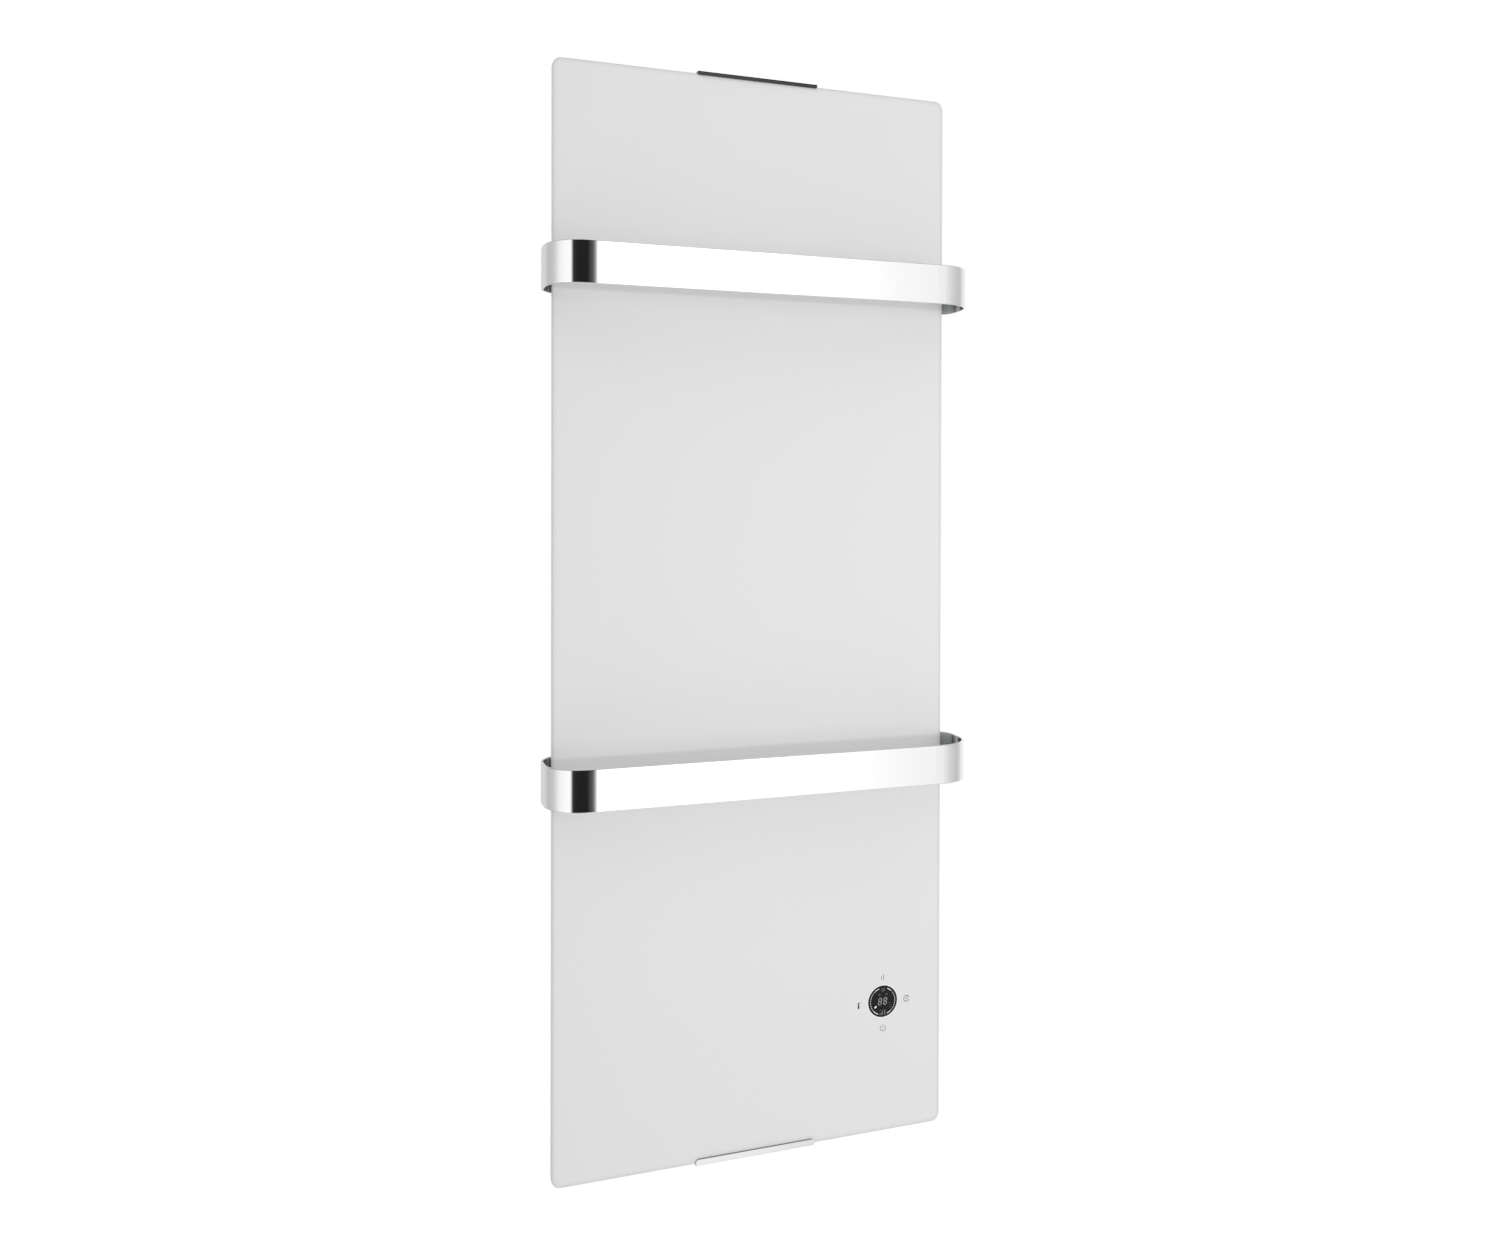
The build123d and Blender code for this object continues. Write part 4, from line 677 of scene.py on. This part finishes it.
dress(printed_glass(), "glass_panel")
window_black = coat("window_black", (0.010, 0.010, 0.011), 0.35, 600, 0.0000005, drift=0.1, spread=0.03)
window_black.node_tree.nodes["Principled BSDF"].inputs["Specular IOR Level"].default_value = 0.15
dress(window_black, "display_lens")
print("solids left bare:", sorted(set(nodes) - dressed))

# %% [markdown]
# ## The touch display
# A round black window sits low on the right of the glass, with two lit digits, dashes round the
# rim and small signs. Four grey touch marks stand around it. All of them are printed or lit
# surfaces, so they could be an image, but drawing them as thin solids keeps them sharp at any
# distance. Every stroke is the same shape: a flat bar a twentieth of a millimetre thick that
# follows a path on the glass.

# %% Strokes on the glass
display_low, display_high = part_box("display_lens")
display_x = (display_low[0] + display_high[0]) / 2
display_z = (display_low[2] + display_high[2]) / 2
glass_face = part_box("glass_panel")[0][1]
mark_thickness = 0.00005


def on_glass(x, z, lift):
    """Points on the glass: millimetres right of and above the display's centre, and metres of lift
    towards the room."""
    x, z = display_x + x / 1000, display_z + z / 1000
    return np.stack(np.broadcast_arrays(x, glass_face - lift, z), axis=-1)


def bar_along(left, right, base, top):
    """The four corners of a flat bar at each point of its path, given its two sides as (x, z)."""
    corners = ((left, base), (right, base), (right, top), (left, top))
    return np.stack([on_glass(side[:, 0], side[:, 1], lift) for side, lift in corners], axis=1)


def stroke(path, width, level=1, taper=0.0):
    """Flat bar along a path of (x, z) points in millimetres: each point is pushed half the width to
    both sides along the path's normal, at two heights, and the four corners join up along the path.
    The ends narrow by the taper share over the first and last points."""
    path = np.asarray(path, float)
    along = np.gradient(path, axis=0)
    along /= np.linalg.norm(along, axis=1, keepdims=True)
    normal = np.stack([-along[:, 1], along[:, 0]], axis=1)
    half = np.full(len(path), width / 2)
    half[[0, -1]] *= 1 - taper
    left = path + normal * half[:, None]
    right = path - normal * half[:, None]
    base = level * mark_thickness
    return bar_along(left, right, base, base + mark_thickness)


def arc(centre, radius, start, end, points=9):
    """Points on a circle from one angle to another, in degrees from the right, turning upwards."""
    turn = np.radians(np.linspace(start, end, points))
    return np.stack([centre[0] + radius * np.cos(turn), centre[1] + radius * np.sin(turn)], axis=1)


def line(start, end):
    """Points from start to end, each the start times one minus its share plus the end times its
    share. They lie closer near the two ends, where a stroke narrows."""
    share = np.array([0.0, 0.12, 0.3, 0.7, 0.88, 1.0])[:, None]
    return np.array(start) * (1 - share) + np.array(end) * share


def solid_piece(name, mesh, material, merge_distance=None):
    """Puts a piece in the scene with its faces turned outwards. Points closer together than the
    merge distance are joined first, if one is given."""
    work = bmesh.new()
    work.from_mesh(mesh)
    if merge_distance:
        bmesh.ops.remove_doubles(work, verts=work.verts, dist=merge_distance)
    bmesh.ops.recalc_face_normals(work, faces=work.faces)
    work.to_mesh(mesh)
    work.free()
    mesh.materials.append(material)
    piece = bpy.data.objects.new(name, mesh)
    bpy.context.scene.collection.objects.link(piece)
    return piece


def marks(name, rings, material, body="heater"):
    """One object of many strokes, each with both ends closed, riding on a body of the heater."""
    points, faces, start = [], [], 0
    for ring in rings:
        count = len(ring)
        index = np.arange(count * 4).reshape(count, 4) + start
        wrapped = np.concatenate([index, index[:, :1]], axis=1)
        quads = np.stack([wrapped[:-1, :-1], wrapped[:-1, 1:], wrapped[1:, 1:], wrapped[1:, :-1]], axis=-1)
        faces += quads.reshape(-1, 4).tolist() + [index[0].tolist(), index[-1, ::-1].tolist()]
        points.append(ring.reshape(-1, 3))
        start += count * 4
    mesh = bpy.data.meshes.new(name)
    mesh.from_pydata(np.concatenate(points).tolist(), [], faces)
    piece = solid_piece(name, mesh, material)
    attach(piece, body)


print("display centre", round(display_x, 4), round(display_z, 4), "on the glass face", round(glass_face, 4))

# %% [markdown]
# The window itself is a shallow disc whose rim rolls over: a profile of radius and height turned
# round the display's centre. Round it lies a slightly paler ring: a painted halo of light round the dark
# window.

# %% Window and ring
def turned(name, profile, material, points=96):
    """Solid of revolution about the display's centre: each (radius, lift) pair of the profile, in
    millimetres, is carried round a full turn, and the last pair joins the first."""
    profile = np.asarray(profile, float)
    turn = np.linspace(0, 2 * np.pi, points, endpoint=False)
    x = profile[:, :1] * np.cos(turn)
    z = profile[:, :1] * np.sin(turn)
    lift = np.repeat(profile[:, 1:2] / 1000, points, axis=1)
    grid = np.stack([display_x + x / 1000, glass_face - lift, display_z + z / 1000], axis=-1)
    mesh = mesh_from_grid(name, grid, close_columns=True, close_rows=True)
    piece = solid_piece(name, mesh, material, merge_distance=1e-7)
    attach(piece, "heater")
    return piece


window_radius = (display_high[0] - display_low[0]) / 2 * 1000
window_lift, print_lift = 0.05, 0.03
ring_inner, ring_outer = window_radius + 0.05, window_radius + 1.1
# The paler ring is a painted halo of light round the dark window.
painted_halo = coat("pale_ring_print", (0.85, 0.85, 0.85), 0.35, 500, 0.000001, drift=0.02)
window_profile = [(0, 0.0), (window_radius, 0.0), (window_radius, print_lift),
                  (window_radius - 0.06, window_lift), (0, window_lift)]
window = turned("display_window", window_profile, window_black)
ring_profile = [(ring_inner, 0.0), (ring_outer, 0.0), (ring_outer, print_lift), (ring_inner, print_lift)]
turned("display_ring", ring_profile, painted_halo)
print("window", round(window_radius * 2, 1), "mm across")

# %% [markdown]
# ## Lit signs
# Lit marks are pale under the dark window, some bright and some dim. They give off a little light
# of their own, set on the shader directly, and a slow drift keeps the glow from looking printed.

# %% Lit and printed finishes
def lit(name, colour, glow):
    """Pale mark that also shines a little."""
    material = coat(name, colour, 0.4, 500, 0.000001, drift=0.10, drift_scale=300)
    surface = material.node_tree.nodes["Principled BSDF"]
    material.node_tree.links.new(tone_of(material).outputs["Colour"], surface.inputs["Emission Color"])
    surface.inputs["Emission Strength"].default_value = glow
    return material


bright_sign = lit("bright_sign", (0.70, 0.72, 0.72), 0.35)
digit_sign = lit("digit_sign", (0.46, 0.47, 0.47), 0.25)
dim_sign = lit("dim_sign", (0.15, 0.155, 0.158), 0.10)
faint_sign = lit("faint_sign", (0.035, 0.036, 0.038), 0.05)
print("signs glow from 0.05 to 0.35")

# %% [markdown]
# Two rows of dashes follow the rim, one on each side. Each row has a long dash at both ends and
# short ones between them, eight degrees apart. Angles run from the right, turning upwards.

# %% Rim dashes
dash_radius = 13.55
long_dash_width, short_dash_width = 0.62, 0.60
dash_pitch, half_dash = 8.0, 1.9
gap_after_first, gap_before_last = 5.5, 3
rim_strokes = []
for first, last, first_length, last_length in ((107, 249, 20, 25), (-70, 68, 19, 23)):
    inner_start, inner_end = first + first_length, last - last_length
    rim_strokes.append(stroke(arc((0, 0), dash_radius, first, inner_start, 12), long_dash_width))
    rim_strokes.append(stroke(arc((0, 0), dash_radius, inner_end, last, 12), long_dash_width))
    for middle in np.arange(inner_start + gap_after_first, inner_end - gap_before_last, dash_pitch):
        dash = arc((0, 0), dash_radius, middle - half_dash, middle + half_dash, 5)
        rim_strokes.append(stroke(dash, short_dash_width))
marks("display_rim_dashes", rim_strokes, bright_sign)
print(len(rim_strokes), "rim dashes")


# %% [markdown]
# A numeral of this kind is seven bars. Both show all seven, which is the plain test picture of such
# a display.

# %% Digits
def digit(centre, half_width=1.5, half_height=3.3, slant=0.12, width=0.52, corner_gap=0.32):
    """All seven bars of a numeral, leaning by the slant: each bar runs between two corners of a
    two-by-one ladder and narrows at both ends."""
    corners = {"tl": (-1, 1), "tr": (1, 1), "ml": (-1, 0), "mr": (1, 0), "bl": (-1, -1), "br": (1, -1)}
    place = {}
    for key, (u, v) in corners.items():
        x = centre[0] + u * half_width + slant * v * half_height
        place[key] = np.array([x, centre[1] + v * half_height])
    strokes = []
    for pair in ("tl tr", "ml mr", "bl br", "tl ml", "ml bl", "tr mr", "mr br"):
        a, b = (place[key] for key in pair.split())
        step = (b - a) / np.linalg.norm(b - a) * corner_gap
        strokes.append(stroke(line(a + step, b - step), width, taper=0.75))
    return strokes


digit_strokes = digit((-2.95, 0.0)) + digit((2.88, 0.0))
marks("display_digits", digit_strokes, digit_sign)
print(len(digit_strokes), "bars in the digits")

# %% [markdown]
# Round the digits stand small signs: a leaf, a clock, a snow star, a hook, three level bars under a
# line with a post beside them, and two faint circles. The leaf is one stroke whose width follows
# half a sine wave from tip to tip. All places are in millimetres from the display's centre.

# %% Small signs in the window
leaf_start, leaf_run = np.array([-9.1, -6.0]), np.array([2.4, 1.8])
leaf_width, tip_width = 1.9, 0.04
leaf_share = np.linspace(0, 1, 13)[:, None]
leaf_ring = stroke(leaf_start + leaf_share * leaf_run, 1.0)
leaf_middle = leaf_ring.mean(axis=1, keepdims=True)
leaf_swell = (np.sin(np.pi * leaf_share) * leaf_width + tip_width)[:, :, None]
leaf_scale = np.concatenate([leaf_swell, np.ones_like(leaf_swell), leaf_swell], axis=2)
marks("display_leaf_sign", [leaf_middle + (leaf_ring - leaf_middle) * leaf_scale], bright_sign)

clock, star, hook = (0.43, 11.6), (4.27, 6.9), (-3.5, 6.9)
star_reach, bar_foot = 1.15, -14.1
dim_strokes = [
    stroke(arc(clock, 1.55, 80, 420, 24), 0.42),
    stroke(line(clock, (0.43, 12.5)), 0.32),
    stroke(line(clock, (1.15, 11.2)), 0.32),
]
for turn in (30, 90, 150):
    ray = star_reach * np.array([math.cos(math.radians(turn)), math.sin(math.radians(turn))])
    dim_strokes.append(stroke(line(star - ray, star + ray), 0.36))
dim_strokes += [stroke(arc(hook, 0.75, -200, 20, 12), 0.42), stroke(line((-4.1, 7.3), (-3.3, 8.4)), 0.34)]
for x, top in ((-3.0, -11.9), (-1.6, -11.0), (-0.2, -10.1)):
    dim_strokes.append(stroke(line((x, bar_foot), (x, top)), 0.75))
dim_strokes += [
    stroke(line((2.35, -14.4), (2.35, -8.9)), 1.15),
    stroke(line((-3.4, -9.3), (1.0, -8.9)), 0.35),
]
marks("display_dim_signs", dim_strokes, dim_sign)
faint_strokes = [
    stroke(arc((7.15, -2.4), 0.5, 0, 350, 14), 0.35),
    stroke(arc((8.8, -5.8), 1.45, 60, 330, 18), 0.42),
]
marks("display_faint_signs", faint_strokes, faint_sign)
print("window signs:", len(dim_strokes) + len(faint_strokes) + 1, "strokes")

# %% [markdown]
# The four touch marks are printed in grey ink on the glass: level bars above, a timer to the right,
# the power sign below and a thermometer to the left, which is darker than the rest.

# %% Touch marks
def ink(name, grey):
    """Even printed ink of one grey."""
    return coat(name, (grey, grey, grey), 0.5, 700, 0.000001, drift=0.06, drift_scale=200)


grey_ink, mid_ink, dark_ink = ink("grey_ink", 0.30), ink("mid_ink", 0.17), ink("dark_ink", 0.05)
bars = [
    stroke(line((-1.2, 22.1), (-1.2, 26.0)), 0.8, level=0),
    stroke(line((0.9, 22.1), (0.9, 27.6)), 0.8, level=0),
]
power_sign = [
    stroke(arc((0.2, -27.2), 2.9, 128, 412, 30), 0.75, level=0),
    stroke(line((0.2, -26.6), (0.2, -23.5)), 0.7, level=0),
]
timer = [
    stroke(arc((26.6, -0.5), 3.0, 30, 335, 30), 0.75, level=0),
    stroke(arc((26.6, -0.5), 0.35, 0, 350, 12), 0.7, level=0),
    stroke(line((26.8, -0.3), (28.4, 1.3)), 0.5, level=0),
]
thermometer = [
    stroke(line((-26.6, -3.9), (-26.6, 1.8)), 1.5, level=0),
    stroke(arc((-26.6, -3.4), 0.65, 0, 350, 14), 0.9, level=0),
]
degree = [stroke(arc((-24.5, 1.3), 0.55, 30, 330, 12), 0.4, level=0)]
marks("touch_marks_grey", bars + power_sign, grey_ink)
marks("touch_mark_timer", timer, mid_ink)
marks("touch_mark_thermometer", thermometer, dark_ink)
marks("touch_mark_degree", degree, grey_ink)
print("touch marks:", len(bars + power_sign + timer + thermometer + degree), "strokes")

# %% [markdown]
# ## Marks on the power switch
# The rocker carries the usual ring for off and bar for on. They lie on its two slanted faces, so
# each point is worked out on the face: outwards by the valley plus the slope times the distance
# from the middle, then turned by the rest angle about the pivot.

# %% Switch marks
hinge = next(j for j in frame["joints"] if j["name"] == "power_rocker")
pivot = np.array(hinge["pos_m"], float)
rest_angle = math.radians(hinge["range_deg"][1] / 2)
valley = 0.0022
rocker_gap = 0.00001


def on_rocker(across, along, lift):
    """Point on the rocker's slanted face: across runs along the pivot, along runs up the face."""
    out = valley + math.tan(rest_angle) * np.abs(along) + lift
    x = pivot[0] + out * math.cos(rest_angle) - along * math.sin(rest_angle)
    z = pivot[2] + out * math.sin(rest_angle) + along * math.cos(rest_angle)
    return np.stack([x, pivot[1] + across, z], axis=-1)


def rocker_stroke(path, width):
    """Flat bar on the rocker's face along a path of (across, along) points in millimetres."""
    path = np.asarray(path, float) / 1000
    direction = np.gradient(path, axis=0)
    direction /= np.linalg.norm(direction, axis=1, keepdims=True)
    side = np.stack([-direction[:, 1], direction[:, 0]], axis=1) * width / 2000
    left, right = path + side, path - side
    base, top = rocker_gap, rocker_gap + mark_thickness
    corners = ((left, base), (right, base), (right, top), (left, top))
    return np.stack([on_rocker(edge[:, 0], edge[:, 1], lift) for edge, lift in corners], axis=1)


white_ink = coat("white_ink", (0.80, 0.80, 0.79), 0.5, 700, 0.000001, drift=0.04, drift_scale=200)
off_ring = rocker_stroke(arc((0, 5.0), 1.5, 0, 355, 30), 0.45)
on_bar = rocker_stroke(line((0, -6.4), (0, -3.6)), 0.5)
marks("rocker_marks", [off_ring, on_bar], white_ink, body="rocker")
print("rocker marks at a slope of", round(math.degrees(rest_angle), 1), "degrees")
